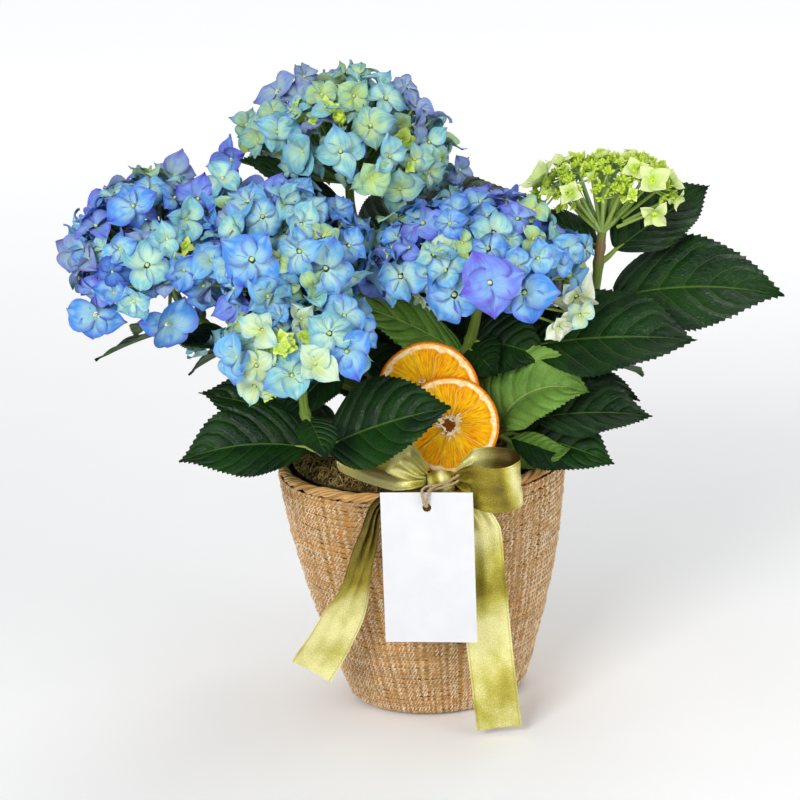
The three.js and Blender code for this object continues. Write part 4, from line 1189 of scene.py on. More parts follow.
# Offsets in mm from a head's middle, to the right and up as the camera sees it, the sepal's length,
# the tint and how far the floret turns to the viewer.
FACING_FLORETS = {
    "left_outer": [
        (-28, -8, 11, "deep", 0.9), (-27, -20, 11, "cornflower", 0.7), (-9, -5, 16, "aqua", 0.4),
        (22, -16, 19, "cornflower", 0.9), (2, -36, 18, "cornflower", 0.5), (2, 10, 12, "aqua", 0.6),
        (28, -2, 15, "cornflower", 0.7), (12, 21, 15, "aqua", 0.6), (28, 18, 10, "mint", 0.7),
        (6, 44, 14, "lilac", 0.5), (-16, 28, 15, "cornflower", 0.5), (-37, 16, 14, "periwinkle", 0.5),
        (-49, 2, 12, "lilac", 0.4), (-37, -32, 17, "cornflower", 0.6), (-16, -24, 12, "aqua", 0.4),
        (-8, 36, 12, "sky", 0.4), (7, 8, 7, "lime", 0.6), (-31, -17, 7, "mint", 0.6),
        (19, -48, 12, "aqua", 0.2), (30, 34, 13, "cornflower", 0.5), (-24, 4, 11, "sky", 0.4),
    ],
    "left_inner": [
        (-38, 0, 14, "sky", 0.7), (-16, 1, 19, "cornflower", 0.9), (10, 6, 16, "sky", 0.9),
        (24, -4, 17, "sky", 0.7), (-8, -19, 18, "sky", 0.8), (-23, -24, 14, "periwinkle", 0.7),
        (-31, 35, 15, "cornflower", 0.5), (-32, 44, 13, "aqua", 0.5), (-4, 35, 15, "periwinkle", 0.5),
        (-10, 24, 14, "sky", 0.6), (17, 28, 12, "sky", 0.6), (30, 27, 12, "cornflower", 0.6),
        (-2, 1, 10, "mint", 0.8), (17, -13, 11, "mint", 0.5), (31, -18, 12, "aqua", 0.5),
        (41, 19, 10, "cornflower", 0.5), (36, 8, 12, "cornflower", 0.5), (10, 20, 12, "aqua", 0.5),
    ],
    "front": [
        (-19, 9, 14, "cream", 0.8), (-32, -5, 15, "sky", 0.5), (-23, -20, 14, "cream", 0.6),
        (-4, -15, 15, "aqua", 0.8), (8, -9, 15, "cream", 0.8), (16, 7, 14, "aqua", 0.7),
        (25, -2, 15, "cornflower", 0.8), (-19, -2, 7, "lime", 0.7), (-9, 4, 8, "cream", 0.7),
        (1, 15, 10, "cream", 0.6), (-16, 19, 9, "aqua", 0.5), (34, 7, 10, "cornflower", 0.4),
        (3, 5, 6, "lime", 0.7),
    ],
    "top": [
        (-24, 6, 17, "aqua", 0.9), (-4, 6, 16, "aqua", 0.9), (13, -9, 14, "mint", 0.8),
        (29, -15, 16, "teal", 0.9), (13, 20, 16, "teal", 0.6), (-40, 16, 14, "aqua", 0.6),
        (-15, 37, 13, "mint", 0.6), (3, 37, 12, "mint", 0.6), (21, 35, 13, "aqua", 0.5),
        (-39, 39, 14, "lilac", 0.6), (-42, 27, 11, "teal", 0.5), (-25, 47, 11, "lilac", 0.6),
        (-28, 38, 8, "cream", 0.6), (30, 12, 10, "lime", 0.7), (45, 11, 13, "aqua", 0.6),
        (46, 22, 13, "lilac", 0.5), (32, 41, 11, "lilac", 0.5), (50, -7, 13, "teal", 0.5),
        (62, -5, 11, "lilac", 0.5), (-57, 20, 11, "teal", 0.5), (-55, 8, 6, "lime", 0.5),
        (-64, 1, 15, "periwinkle", 0.7), (-6, 46, 10, "lilac", 0.5), (6, 48, 9, "teal", 0.5),
        (-3, 32, 7, "lime", 0.8), (31, 21, 8, "mint", 0.6),
    ],
    "right": [
        (-12, -20, 20, "cornflower", 0.9), (7, -13, 19, "periwinkle", 0.9),
        (26, -19, 18, "cornflower", 0.9), (-41, -10, 15, "sky", 0.6),
        (-29, 18, 17, "periwinkle", 0.6), (2, 30, 12, "cornflower", 0.5),
        (9, 14, 13, "aqua", 0.8), (-8, 8, 8, "mint", 0.6), (-18, 5, 9, "cream", 0.6),
        (18, 9, 10, "aqua", 0.5), (22, 21, 13, "periwinkle", 0.5), (34, 12, 10, "deep", 0.4),
        (33, 0, 13, "sky", 0.6), (44, -2, 11, "cornflower", 0.5), (49, 4, 11, "sky", 0.5),
        (53, -8, 10, "lime", 0.6), (54, -20, 14, "white", 0.7), (56, -31, 11, "cream", 0.6),
        (44, -36, 11, "white", 0.6), (-54, 9, 9, "mint", 0.5), (-46, 10, 6, "lime", 0.6),
        (-57, -6, 11, "teal", 0.5), (-30, -22, 9, "cream", 0.4), (-12, 26, 11, "cornflower", 0.4),
        (22, -4, 11, "sky", 0.6), (-8, -2, 7, "lime", 0.6), (-46, -17, 11, "sky", 0.4),
    ],
}
# Places where the photograph shows leaf, stalk or sky beside a head: right, up and how wide, in mm.
CLEARINGS = {
    "right": [(44, 32, 15), (58, 22, 15), (30, 38, 10)],
    "left_inner": [
        (16, 48, 12), (32, 42, 12), (2, 54, 10), (-12, 49, 9), (2, 46, 8), (20, 42, 9), (34, 38, 9),
    ],
    "top": [(-40, -14, 10), (-28, -18, 12), (-12, -24, 12), (2, -26, 10), (-50, -2, 8)],
}
# How pointed the sepals of each head are, and how its other florets are tinted: tint and share.
HEAD_TINTS = {
    "left_outer": (0.6, {"cornflower": 4, "sky": 3, "aqua": 3, "periwinkle": 2, "lilac": 2, "mint": 1}),
    "left_inner": (0.55, {"cornflower": 4, "sky": 3, "periwinkle": 2, "aqua": 2, "lilac": 1, "mint": 1}),
    "front": (0.6, {"aqua": 3, "cream": 2, "sky": 2, "mint": 1, "cornflower": 1}),
    "top": (0.75, {"aqua": 3, "teal": 4, "lilac": 3, "mint": 2, "sky": 1}),
    "right": (0.35, {"periwinkle": 3, "cornflower": 4, "sky": 3, "aqua": 3, "mint": 1}),
    "back_left": (0.5, {"cornflower": 4, "sky": 3, "periwinkle": 2, "aqua": 2, "lilac": 1}),
    "back_right": (0.5, {"periwinkle": 3, "cornflower": 3, "aqua": 2, "sky": 2, "mint": 1}),
}


def is_clear(name, point):
    """Whether a place falls in one of the head's clearings, as the camera sees it."""
    offset = point - SHOOTS[name]["head"].centre
    right, up = offset @ view_right, offset @ view_up
    return any(math.hypot(right - x, up - y) < wide for x, y, wide in CLEARINGS.get(name, []))


# %% Florets of every head
rng = np.random.default_rng(47)
flower_paths, flower_radii = [], []


def add_stalk(path, *radii):
    flower_paths.append(np.array(path))
    flower_radii.append(np.array(radii))


def bowed_stalk(tip, point, sag, steps, foot, end):
    """A stalk out of the head's own, bowed up under what it carries."""
    bend = tip + (point - tip) * 0.5 - UP * sag
    add_stalk(Route([tip, bend, point]).at(np.linspace(0, 1, steps)), *np.linspace(foot, end, steps))


def shaken(normal, amount):
    return unit(normal + rng.normal(0, amount, 3))


for name, (star, tints) in HEAD_TINTS.items():
    head = SHOOTS[name]["head"]
    tip = SHOOTS[name]["route"].at(0.97)
    skin = Skin("petal", cells=(VARIANTS, len(sepal_looks)))
    placed = []
    for right, up, size, tint, face in FACING_FLORETS.get(name, []):
        small = size < 11
        point = head.seen(right, up, 0.74 if small else OUTER_SHELL)
        normal = shaken(head.normal(point) * (1 - face) + unit(CAMERA_PLACE - point) * face, 0.22)
        add_floret(skin, point, normal, rng.uniform(0, np.pi), size, tint, rng, 0.7 if small else 1.0, star)
        placed.append((point, size))
        bowed_stalk(tip, point, 3, 7, 1.3, 0.55 + size * 0.012)
    weights = np.array(list(tints.values()), float)
    for shell, count, low, high in ((OUTER_SHELL, head.fill * 2, 10, 14.5), (0.66, head.fill, 9, 12.5)):
        for k in range(count):
            height = 1 - (k + 0.5) / count * (1 - math.cos(LOWEST_FLORET))
            size = rng.uniform(low, high)
            share = shell + rng.uniform(-0.08, 0.05)
            point = head.dome(height, k * GOLDEN_ANGLE + head.seed, share)
            crowded = any(np.linalg.norm(point - other) < 0.42 * (size + reach) for other, reach in placed)
            inside = shell != OUTER_SHELL
            if is_clear(name, point) or (crowded and not inside):
                continue
            normal = shaken(head.normal(point), 0.36)
            tint = rng.choice(list(tints), p=weights / weights.sum())
            add_floret(skin, point, normal, rng.uniform(0, np.pi), size, tint, rng, 1.0, star, inside)
            if not inside:
                placed.append((point, size))
            bowed_stalk(tip, point, 3, 7, 1.3, 0.55 + size * 0.012)
    skin.make("petals_" + name, sepal_looks, "blossom", "bloom_" + name)

# %% [markdown]
# ## Young head and lime buds
# The head on the right is still in bud: an open umbel of green rays with tiny lime florets and a few
# pale sepals at its edge. The same buds sit in the middles of the other heads.

# %% Bud finishes
LIME = {
    "lime_bud": ((132, 168, 20), (196, 220, 70)),
    "lime_floret": ((156, 190, 44), (212, 230, 118)),
    "lime_pale": ((176, 204, 88), (224, 234, 170)),
}
BUD, FLORET, PALE = range(len(LIME))
bud_looks = []
for name, (low, high) in LIME.items():
    look = Finish(name, roughness=0.5, specular=0.35)
    uv = look.chart("petal")
    shade = noise(uv, 3.0, 2) * 0.6 + parts_of(uv)[1] * 0.5
    bud_looks.append(look.paint(ramp(shade, (0.2, low), (0.75, high))))

# %% Buds and tiny florets


def add_bud(skin, centre, normal, size, rng):
    """A round bud with four lobes."""
    points = centre + ball((0.15, 2.7, 7), 10, 0.1) * size @ facing(normal, rng.uniform(0, 3))
    skin.grid(points, chart(np.linspace(0, 1, 11), np.linspace(1, 0, 7)), finish=BUD, wrap=True)


def add_tiny_floret(skin, centre, normal, size, finish, rng):
    spin = rng.uniform(0, 3)
    for k in range(4):
        shape = sepal(
            size * rng.uniform(0.85, 1.1), size * 0.8, rng.uniform(0.5, 1.2), rng.uniform(0.3, 1.3),
            0.9, 0.5, rng.uniform(-0.4, 0.6), 0.2, rng.normal(0, 0.1), 0.03, rng.uniform(0, 6), 0.6,
        )
        shape = shape if size > 7 else shape[::2, ::2]
        add_sepal(skin, centre + shape @ facing(normal, spin + k * np.pi / 2), (finish, 0), finish)
    add_bud(skin, centre + normal * 0.5, normal, size * 0.2 + 0.3, rng)


def add_spears(skin, foot, normal, length, count, rng):
    """A star of slim closed buds that fan out from one foot."""
    t = np.linspace(0, 1, 6)
    for k in range(count):
        tilt = rng.uniform(0.25, 1.15)
        way = np.array([math.sin(tilt), 0, math.cos(tilt)]) @ facing(normal, k * GOLDEN_ANGLE)
        long = length * rng.uniform(0.75, 1.2)
        radii = long * 0.2 * np.sin(np.pi * (0.14 + 0.83 * t)) ** 0.8
        spear = tube(foot + way * (t * long)[:, None], radii, 6)
        skin.grid(spear, chart(np.linspace(0, 1, 7), t), finish=BUD, wrap=True)


# %% The young head
RAYS = 26
CLUSTERS = 6
# Pale sepals round the edge: right, up, size and how far each turns to the viewer.
PALE_SEPALS = [
    (-33, 4, 14, 0.1), (-25, 12, 9, 0.1), (16, 10, 9, 0.5), (26, 4, 12, 0.7), (35, 4, 9, 0.2),
    (27, -13, 10, 0.5), (-19, -3, 9, 0.3), (-2, 17, 6, 0.2), (12, 16, 7, 0.2), (38, -4, 8, 0.2),
]

rng = np.random.default_rng(83)
head = SHOOTS["bud"]["head"]
tip = SHOOTS["bud"]["route"].at(0.9)
skin = Skin("petal", cells=(3, 1))
rays = [head.dome(1 - (k + 0.5) / RAYS * 0.95, k * GOLDEN_ANGLE, 0.6) for k in range(RAYS)]
for ray in rays:
    bowed_stalk(tip, ray, 1.5, 6, 1.5, 0.9)
for ray in rays:
    for _ in range(CLUSTERS):
        toward = ray + rng.normal(0, 4.6, 3) - head.centre
        point = head.out(toward, rng.uniform(0.72, 0.9))
        normal = shaken(head.normal(point), 0.35)
        add_stalk([ray, (ray + point) / 2 + rng.normal(0, 0.6, 3), point], 0.8, 0.6, 0.5)
        add_spears(skin, point, normal, rng.uniform(3.6, 5.6), int(rng.integers(5, 9)), rng)
        if rng.random() < 0.25:
            add_tiny_floret(skin, point + normal * 1.5, normal, rng.uniform(3.5, 5.5), FLORET, rng)
for right, up, size, face in PALE_SEPALS:
    point = head.seen(right, up, 0.86)
    normal = unit(head.normal(point) * (1 - face) + unit(CAMERA_PLACE - point) * face)
    add_tiny_floret(skin, point, normal, size, PALE, rng)
    add_stalk([tip + (point - tip) * 0.3, tip + (point - tip) * 0.7, point], 1.1, 0.9, 0.7)
skin.make("young_head", bud_looks, "lime_buds", "bloom_bud")

# %% Lime buds inside the open heads
# Head, offset to the right and up, how wide and how tall the cluster is, and how many it has.
BUD_CLUSTERS = [
    ("top", -16, 27, 13, 5, 40), ("top", 41, 0, 9, 4, 20), ("front", -12, 3, 8, 5, 20),
    ("front", -15, -22, 3, 4, 8), ("left_outer", 10, 0, 4, 6, 12), ("left_outer", 8, -14, 3, 3, 8),
    ("left_inner", 22, -20, 3, 3, 6), ("right", -22, 2, 7, 4, 14), ("right", -50, 6, 5, 5, 12),
    ("right", 52, -8, 4, 5, 10),
]
skin = Skin("petal", cells=(3, 1))
for name, right, up, wide, tall, count in BUD_CLUSTERS:
    head = SHOOTS[name]["head"]
    tip = SHOOTS[name]["route"].at(0.97)
    for _ in range(count):
        a, b = rng.uniform(-1, 1, 2)
        point = head.seen(right + a * wide, up + b * tall, rng.uniform(0.72, 0.86))
        normal = shaken(head.normal(point) + unit(CAMERA_PLACE - point) * 0.5, 0.2)
        add_stalk([tip + (point - tip) * 0.5, tip + (point - tip) * 0.8, point], 0.8, 0.6, 0.5)
        if rng.random() < 0.5:
            add_bud(skin, point, normal, rng.uniform(1.3, 2.3), rng)
        else:
            add_tiny_floret(skin, point, normal, rng.uniform(3, 5.5), FLORET, rng)
skin.make("inner_buds", bud_looks, "lime_buds")

# %% Stalks of all florets and buds
look = Finish("floret_stalk", roughness=0.55, specular=0.35)
stops = ((0.0, (128, 160, 70)), (0.5, (166, 190, 96)), (1.0, (150, 184, 150)))
floret_stalk = look.paint(ramp(look.value("strand"), *stops))
strands("flower_stalks", flower_paths, flower_radii, 5, floret_stalk, "blossom")

# %% [markdown]
# ## Dried orange slices
# A dried slice keeps its pale membranes, while the flesh between them sinks and turns to amber
# glass. One polar skin has that relief, and its finish draws rind, pith, membranes and flesh from
# the same radius and angle.

# %% Slice sizes
SLICES = {
    "front": (27.2, np.array([16, -57.5, 172.78]), 3),
    "back": (28.4, np.array([6, -46.3, 189.02]), 8),
}
SLICE_HALF = 2.4
SLICE_TILT = math.radians(71)
SEGMENTS = 10
MAP_REACH = 1.14
RINGS = 44
SPOKES = 180
PITH_FIBRES = 34

# %% Slice finish
look = Finish("orange_slice", roughness=0.46, specular=0.1)
uv = look.chart("slice")
centred = wire(look.tree, "ShaderNodeVectorMath", {0: uv, 1: (0.5, 0.5, 0)}, operation="SUBTRACT")
right, up, _ = parts_of(centred)
far = wire(look.tree, "ShaderNodeVectorMath", {0: centred}, "Value", operation="LENGTH") * (2 * MAP_REACH)
wobble = (noise(uv, 5.0, 2) - 0.5) * 0.5
angle = up.bearing(right)
wedge = (angle * (SEGMENTS / TAU) + wobble + 20.0).fraction()
near_gap = 0.5 - abs(wedge - 0.5)
gap = near_gap * (far * (TAU / SEGMENTS))
membrane = step(gap, 0.004, 0.022, 1.0, 0.0)
polar_map = wire(look.tree, "ShaderNodeCombineXYZ", {0: angle * 20.0, 1: far * 4.5})
fibres = noise(polar_map, 1.0, 3, 0.6)
colour = ramp(
    fibres * 0.6 + noise(uv, 4.0) * 0.4,
    (0.34, (184, 98, 0)), (0.43, (228, 148, 0)), (0.52, (248, 184, 0)), (0.64, (255, 220, 40)),
)
colour = mix(step(far, 0.6, 0.9, 0.0, 0.3), colour, (206, 116, 0))
colour = mix(membrane * 0.6, colour, (248, 206, 96))
speckle = noise(uv, 26.0)
star = step(gap, 0.0, 0.05, 1.0, 0.0) * step(far, 0.14, 0.34, 1.0, 0.0) * step(speckle, 0.38, 0.52)
colour = mix(star, colour, (250, 228, 184))
colour = mix(step(far + wobble * 0.4, 0.1, 0.17, 1.0, 0.0), colour, (150, 78, 20))
pit = step(noise(uv, 15.0, 1), 0.6, 0.66) * step(far, 0.12, 0.3, 1.0, 0.0)
colour = mix(pit, colour, (128, 70, 18))
scallop = step(near_gap, 0.0, 0.2, 1.0, 0.0) * 0.045
pale_pith = mix(step(speckle, 0.4, 0.6), (250, 206, 128), (250, 232, 190))
colour = mix(step(far + scallop + wobble * 0.06, 0.84, 0.88), colour, pale_pith)
rind = ramp(noise(uv, 60.0, 2), (0.35, (222, 108, 0)), (0.65, (248, 150, 16)))
colour = mix(step(far + wobble * 0.04, 0.93, 0.955), colour, rind)
orange_look = look.paint(colour, fibres + membrane * 0.6, depth=0.0008, strength=0.9)

look = Finish("orange_fibre", roughness=0.7, specular=0.2)
grain = noise(look.place(), 700, 2)
orange_fibre = look.paint(ramp(grain, (0.3, (248, 216, 156)), (0.7, (255, 248, 228))))

# %% Slices
slice_up = np.array([0, math.cos(SLICE_TILT), math.sin(SLICE_TILT)])
slice_out = np.array([0, -math.sin(SLICE_TILT), math.cos(SLICE_TILT)])
slice_axes = np.array([[1, 0, 0], slice_up, slice_out])
theta = np.arange(SPOKES) / SPOKES * TAU
share = np.linspace(0.012, 0.97, RINGS)[:, None]
wedge = np.abs(((theta * SEGMENTS / TAU) % 1) - 0.5) * 2
membrane = np.clip((wedge - 0.8) / 0.2, 0, 1)
body = np.clip((share - 0.1) / 0.1, 0, 1) * np.clip((0.86 - share) / 0.06, 0, 1)
turn_in = np.array([[0.97, 1.0], [0.992, 0.8], [1.0, 0.35], [1.0, -0.35], [0.992, -0.8], [0.97, -1.0]])
side_reach = np.linspace(0.97, 1.12, len(turn_in))[:, None]

for name, (radius, place, seed) in SLICES.items():
    dice = np.random.default_rng(seed)
    rough = blended_rows(RINGS, SPOKES, 7, dice)
    rough = (rough + np.roll(rough, 1, 0)) / 2
    edge = 1 + 0.012 * blended(SPOKES, 14, dice)
    warp = 0.5 * np.sin(2 * theta + seed)
    sunk = SLICE_HALF - 1.15 * body * (1 - membrane) + 0.35 * rough * body
    skin = Skin("slice")
    for far, height, reach, flip in (
        (share, sunk + warp * share**2, share, False), (share, warp * share**2 - sunk, share, True),
        (turn_in[:, :1], turn_in[:, 1:] * SLICE_HALF + warp, side_reach, False),
    ):
        wide = np.linspace(0, TAU, SPOKES + 1)
        uv = np.stack([np.cos(wide) * reach, np.sin(wide) * reach], -1) / MAP_REACH * 0.5 + 0.5
        skin.grid(polar(far * edge * radius, theta, height) @ slice_axes + place, uv, wrap=True, flip=flip)
    for k in range(PITH_FIBRES):
        angle = dice.uniform(0, TAU)
        start = dice.uniform(2.6, 5.6)
        t = np.linspace(0, 1, 9)[:, None]
        aim = slice_axes[0] * math.cos(angle) + slice_up * math.sin(angle)
        side = np.cross(slice_out, aim)
        weave = dice.uniform(0.3, 0.9) * np.sin(t * dice.uniform(4, 9) + dice.uniform(0, 6))
        path = place + slice_out * (SLICE_HALF + dice.uniform(-0.7, 0.2)) + aim * start
        if k % 3:
            path = path + aim * dice.uniform(1.4, 5) * t + side * weave
        else:
            path = path + side * dice.uniform(2, 5) * (t - 0.5) + aim * weave
        thick = dice.uniform(0.35, 0.6) * np.sqrt(np.sin(np.pi * (0.1 + 0.85 * t[:, 0])))
        skin.grid(tube(path, thick, 6), tube_map(path, 6), finish=1, wrap=True)
    skin.make("orange_" + name, [orange_look, orange_fibre], "dried_orange", "orange_slice_" + name)

# %% [markdown]
# ## Satin bow
# Each loop and tail of the bow is a strip 25 mm wide. Where the knot gathers it the strip is thrown
# into pleats, as deep as it takes for its width to stay 25 mm. Cloth could be simulated, but a bow
# is held in shape by its knot, so its shape can be said outright. The knot is smoother than that,
# and its skin holds less cloth than a 25 mm strip would.

# %% Satin
look = Finish("satin", roughness=0.36, specular=0.4)
uv = look.chart("ribbon")
side = from_middle(parts_of(uv)[0])
weft_and_sheen = streaks(uv, 24, 900, 2)
grain_and_glint = streaks(uv, 36, 340, 2, 0.7)
# Sheen and soft noise paint bands along the strip: painted highlight and painted shade.
sheen = look.value("sheen") + (streaks(uv, 2.2, 16, 2) - 0.5) * 0.7
colour = ramp(
    sheen, (0.0, (74, 58, 10)), (0.36, (140, 126, 32)), (0.62, (192, 184, 78)), (0.95, (240, 234, 160)),
)
# Painted glints: bright specks and weft threads, paler where the painted sheen is high.
spark = mix(step(sheen, 0.4, 0.85), (226, 212, 76), (252, 248, 192))
bright = mix(step(sheen, 0.1, 0.7, 0.2, 0.62), colour, spark)
# The dark speck tone: painted shade among the glints.
dull = mix(0.45, colour, (86, 72, 10))
colour = mix(step(weft_and_sheen, 0.4, 0.7, 0, 0.25), colour, bright)
colour = mix(step(grain_and_glint, 0.53, 0.66, 0, 0.9), colour, bright)
colour = mix(step(grain_and_glint, 0.34, 0.47, 0.75, 0), colour, dull)
selvage = step(side, 0.87, 0.9) * step(side, 0.93, 0.96, 1.0, 0.0)
colour = mix(selvage * 0.3, colour, (112, 96, 24))
# Back faces darken by the given amount: partly a duller back, partly painted shade inside a loop.
behind = wire(look.tree, "ShaderNodeNewGeometry", output="Backfacing")
colour = mix(behind * look.value("dull"), colour, (76, 58, 16))
satin = look.paint(colour, weft_and_sheen * 0.5 + grain_and_glint, depth=0.0003, strength=0.8)
look.shader.inputs["Metallic"].default_value = 0.5

# %% Strips of ribbon
RIBBON_WIDTH = 25
FLAT_WIDTH = 24.9
RIBBON_ROWS = 150
RIBBON_COLUMNS = 49
PLEATS = 3


def pleated(narrow):
    """Sideways shares and heights across strips `narrow` mm wide, so that each measures 25 mm."""
    s = np.linspace(-0.5, 0.5, RIBBON_COLUMNS)
    wave = np.sin(TAU * PLEATS * s + 0.4) * (0.8 + 0.2 * np.cos(5 * s))
    low, high = np.zeros_like(narrow), np.full_like(narrow, 12.0)
    for _ in range(24):
        deep = (low + high) / 2
        run = np.hypot(np.diff(s) * narrow, np.diff(wave) * deep).sum(1, keepdims=True)
        low, high = np.where(run < RIBBON_WIDTH, deep, low), np.where(run < RIBBON_WIDTH, high, deep)
    return s, wave * deep


def ribbon(name, held, width, route, turns, sheen, dull, belly=0.0, swell=0.0):
    """A strip along a route. `turns` are the directions across it, `sheen` the painted highlight
    and shade along it, and the last list how dark its back is painted, partly a duller back and
    partly painted shade inside a loop, all at even steps of its length."""
    path = Route(route)
    t = np.linspace(0, 1, RIBBON_ROWS)
    points, along = path.at(t), path.along(t, 0.006)
    turns = unit(np.array(turns, float))
    eased = t * (len(turns) - 1)
    low = np.minimum(eased.astype(int), len(turns) - 2)
    share = (eased - low)[:, None]
    share = share * share * (3 - 2 * share) if len(turns) > 2 else share
    across = turns[low] * (1 - share) + turns[low + 1] * share
    across = unit(across - (across * along).sum(1, keepdims=True) * along)
    face = np.cross(along, across)
    narrow, t = width(t)[:, None], t[:, None]
    s, height = pleated(narrow)
    height = height + belly * (4 * s**2 - 1) * np.clip(narrow / RIBBON_WIDTH, 0, 1) ** 3
    height = height + swell * np.sin(TAU * (2.4 * t + 0.35 * s) + 0.6) * np.sin(np.pi * t) ** 0.5
    grid = points[:, None] + across[:, None] * (s * narrow)[..., None] + face[:, None] * height[..., None]
    seen = slice(0, RIBBON_ROWS // 3) if held == "gathered" else slice(RIBBON_ROWS // 2, RIBBON_ROWS)
    slanted = np.clip(t + 0.05 * s, 0, 1)
    shine, dim = (np.interp(slanted, np.linspace(0, 1, len(row)), row) for row in (sheen, dull))
    skin = Skin("ribbon")
    uv = chart(s + 0.5, t * path.length / 250)
    skin.grid(grid, uv, flip=bool(face[seen, 1].mean() < 0), sheen=shine, dull=dim)
    piece = skin.make("bow_" + name, [satin], "satin", "ribbon_" + name)
    print(piece.name, "length in mm:", round(path.length))


def gathered(narrow, widens):
    """A loop's width: narrow at the knot, and the full width of the ribbon past it."""
    return lambda t: np.minimum(FLAT_WIDTH, narrow + widens * np.minimum(t, 1 - t))


# After the turns: painted highlight and shade along each strip, then how dark its back is painted.
ribbon(
    "loop_left", "gathered", gathered(8, 90),
    [[0.6, -83.5, 149.8], [-8, -80, 149.8], [-19, -78.2, 151], [-27.6, -76, 153.6], [-33.6, -73, 156.4],
     [-36.4, -69.4, 158.2], [-33.4, -67.2, 161], [-24.6, -68.6, 164.6], [-15.6, -71.4, 163.4],
     [-8.5, -74.4, 158.2], [-3, -77.5, 154], [0.8, -80.5, 152]],
    [[0, 0.9, 0.4], [-0.04, 0.98, 0.12], [0.5, 0.86, 0.04], [0.36, 0.76, 0.5], [0.3, 0.5, 0.8]],
    [0.6, 0.85, 1, 1.05, 0.9, 0.3, 0.75, 0.85, 0.6], [0, 0],
)
ribbon(
    "loop_right", "gathered", gathered(10, 110),
    [[17.8, -85, 150.4], [24, -92.4, 149.4], [34, -97, 146.5], [46, -95, 146], [52, -87, 147.4],
     [48, -77.5, 149.6], [36, -75, 151.4], [18, -80.4, 150.8]],
    [[0, -0.1, 1], [0, 0.2, 1]],
    [0.5, 0.25, 0.35, 0.2, 1.0, 0.2, 0.2, 0.6, 0.9, 0.8], [0.9, 0.9, 1, 1, 1, 1, 0.9, 0.1, 0],
)
ribbon(
    "tail_left", "hung",
    lambda t: np.interp(t, [0, 0.22, 0.33, 0.44, 0.52, 0.62], [6.5, 8.5, 12, 18, 22.5, FLAT_WIDTH]),
    [[1.8, -86.6, 144.8], [-12, -86.4, 144], [-22.1, -86.6, 142], [-27.1, -88.4, 137.9],
     [-31.4, -90.5, 124.6], [-36.8, -90, 110.5], [-42.5, -87, 92.6], [-47.9, -85, 79.5],
     [-59.4, -80, 59.3], [-70.2, -76, 42.6]],
    [[0.2, 0.1, -0.97], [0.42, 0.4, -0.8], [0.6, 0.7, -0.35], [0.8, 0.35, -0.45], [0.86, -0.05, -0.5]],
    [0.1, 0.0, 0.0, 0.0, 0.2, 0.45, 0.85, 1.0, 0.75, 0.95], [0.4, 0.4], belly=1.2, swell=1.0,
)
ribbon(
    "tail_right", "hung", lambda t: np.minimum(FLAT_WIDTH, 7 + 90 * t),
    [[11, -87, 142.2], [19, -86.3, 136.8], [25.5, -86, 127], [28, -86, 90], [29, -85.5, 55],
     [31.5, -85, 4.6]],
    [[0.8, -0.1, 0.5], [1, 0, 0.1]],
    [0.5, 0.8, 0.95, 0.55, 0.35, 0.9, 0.95, 0.7, 0.6, 0.75], [0.4, 0.4], belly=1.0, swell=2.0,
)

# %% Knot: a short strip wrapped round the gathered middle
KNOT = np.array([9, -83, 148.8])
KNOT_SIZE = np.array([8.4, 5.2, 7.2])
KNOT_REACH = 0.86

turns = np.linspace(-0.6, TAU - 0.7, 70)[:, None]
s = np.linspace(-1, 1, 37)
wave = 0.45 * np.sin(2.3 * np.pi * s + 0.5 + 1.1 * np.sin(turns + 0.4))
out = np.sqrt(1 - (s * 0.82) ** 2) + wave * 0.13
around = np.broadcast_arrays(s * KNOT_REACH, -np.cos(turns) * out, np.sin(turns) * out)
skin = Skin("ribbon")
# Painted highlight and shade in bands round the knot.
shine = 0.62 + 0.3 * np.sin(4.6 * s + 1.3 * np.sin(turns))
knot_map = chart((s + 1) / 2, turns / TAU * 0.17 + 0.02)
skin.grid(KNOT + np.stack(around, -1) * KNOT_SIZE, knot_map, sheen=shine, dull=0.4)
bow_knot = skin.make("bow_knot", [satin], "satin", "ribbon_knot")

# %% [markdown]
# ## Bare card and its twine
# The card is a thin plate of stiff paper that has bent a little. Its quads run out from the hole to
# the edge, so that the hole stays round. The twine is two strands laid about each other.

# %% Card
CARD_HANG = np.array([0.2, -96.6, 139.4])
CARD_CORNERS = np.array([(-25, -76.5), (25, -76.5), (25, 8.5), (-25, 8.5)])
CARD_STEPS = (50, 80, 50, 80)
CARD_HOLE = 2.4
CARD_HALF = 0.3
CARD_ROLL, CARD_YAW = math.radians(2), math.radians(-8)

look = Finish("card_paper", roughness=0.62, specular=0.3)
grain = noise(look.place(), 1600)
colour = mix(step(noise(look.place(), 60, 2), 0.3, 0.7), (213, 214, 217), (219, 219, 221))
card_paper = look.paint(colour, grain, depth=0.00008, strength=0.4)

border = np.vstack([
    start + (end - start) * np.arange(count)[:, None] / count
    for start, end, count in zip(CARD_CORNERS, np.roll(CARD_CORNERS, -1, 0), CARD_STEPS)
])
reach = np.linalg.norm(border, axis=1)
far = CARD_HOLE + (reach - CARD_HOLE) * np.linspace(0, 1, 30)[:, None] ** 1.4
flat = unit(border) * far[..., None]


def on_card(depth):
    """The card's points at a depth, from its own plane to its place, with a slight bend."""
    x, z = flat[..., 0], flat[..., 1]
    y = depth + 0.5 * np.sin((z + 34) / 85 * np.pi) - 0.35 * (x / 25) ** 2
    c, s = math.cos(CARD_ROLL), math.sin(CARD_ROLL)
    x, z = x * c + z * s, z * c - x * s
    c, s = math.cos(CARD_YAW), math.sin(CARD_YAW)
    return np.stack([x * c - y * s, x * s + y * c, z], -1) + CARD_HANG


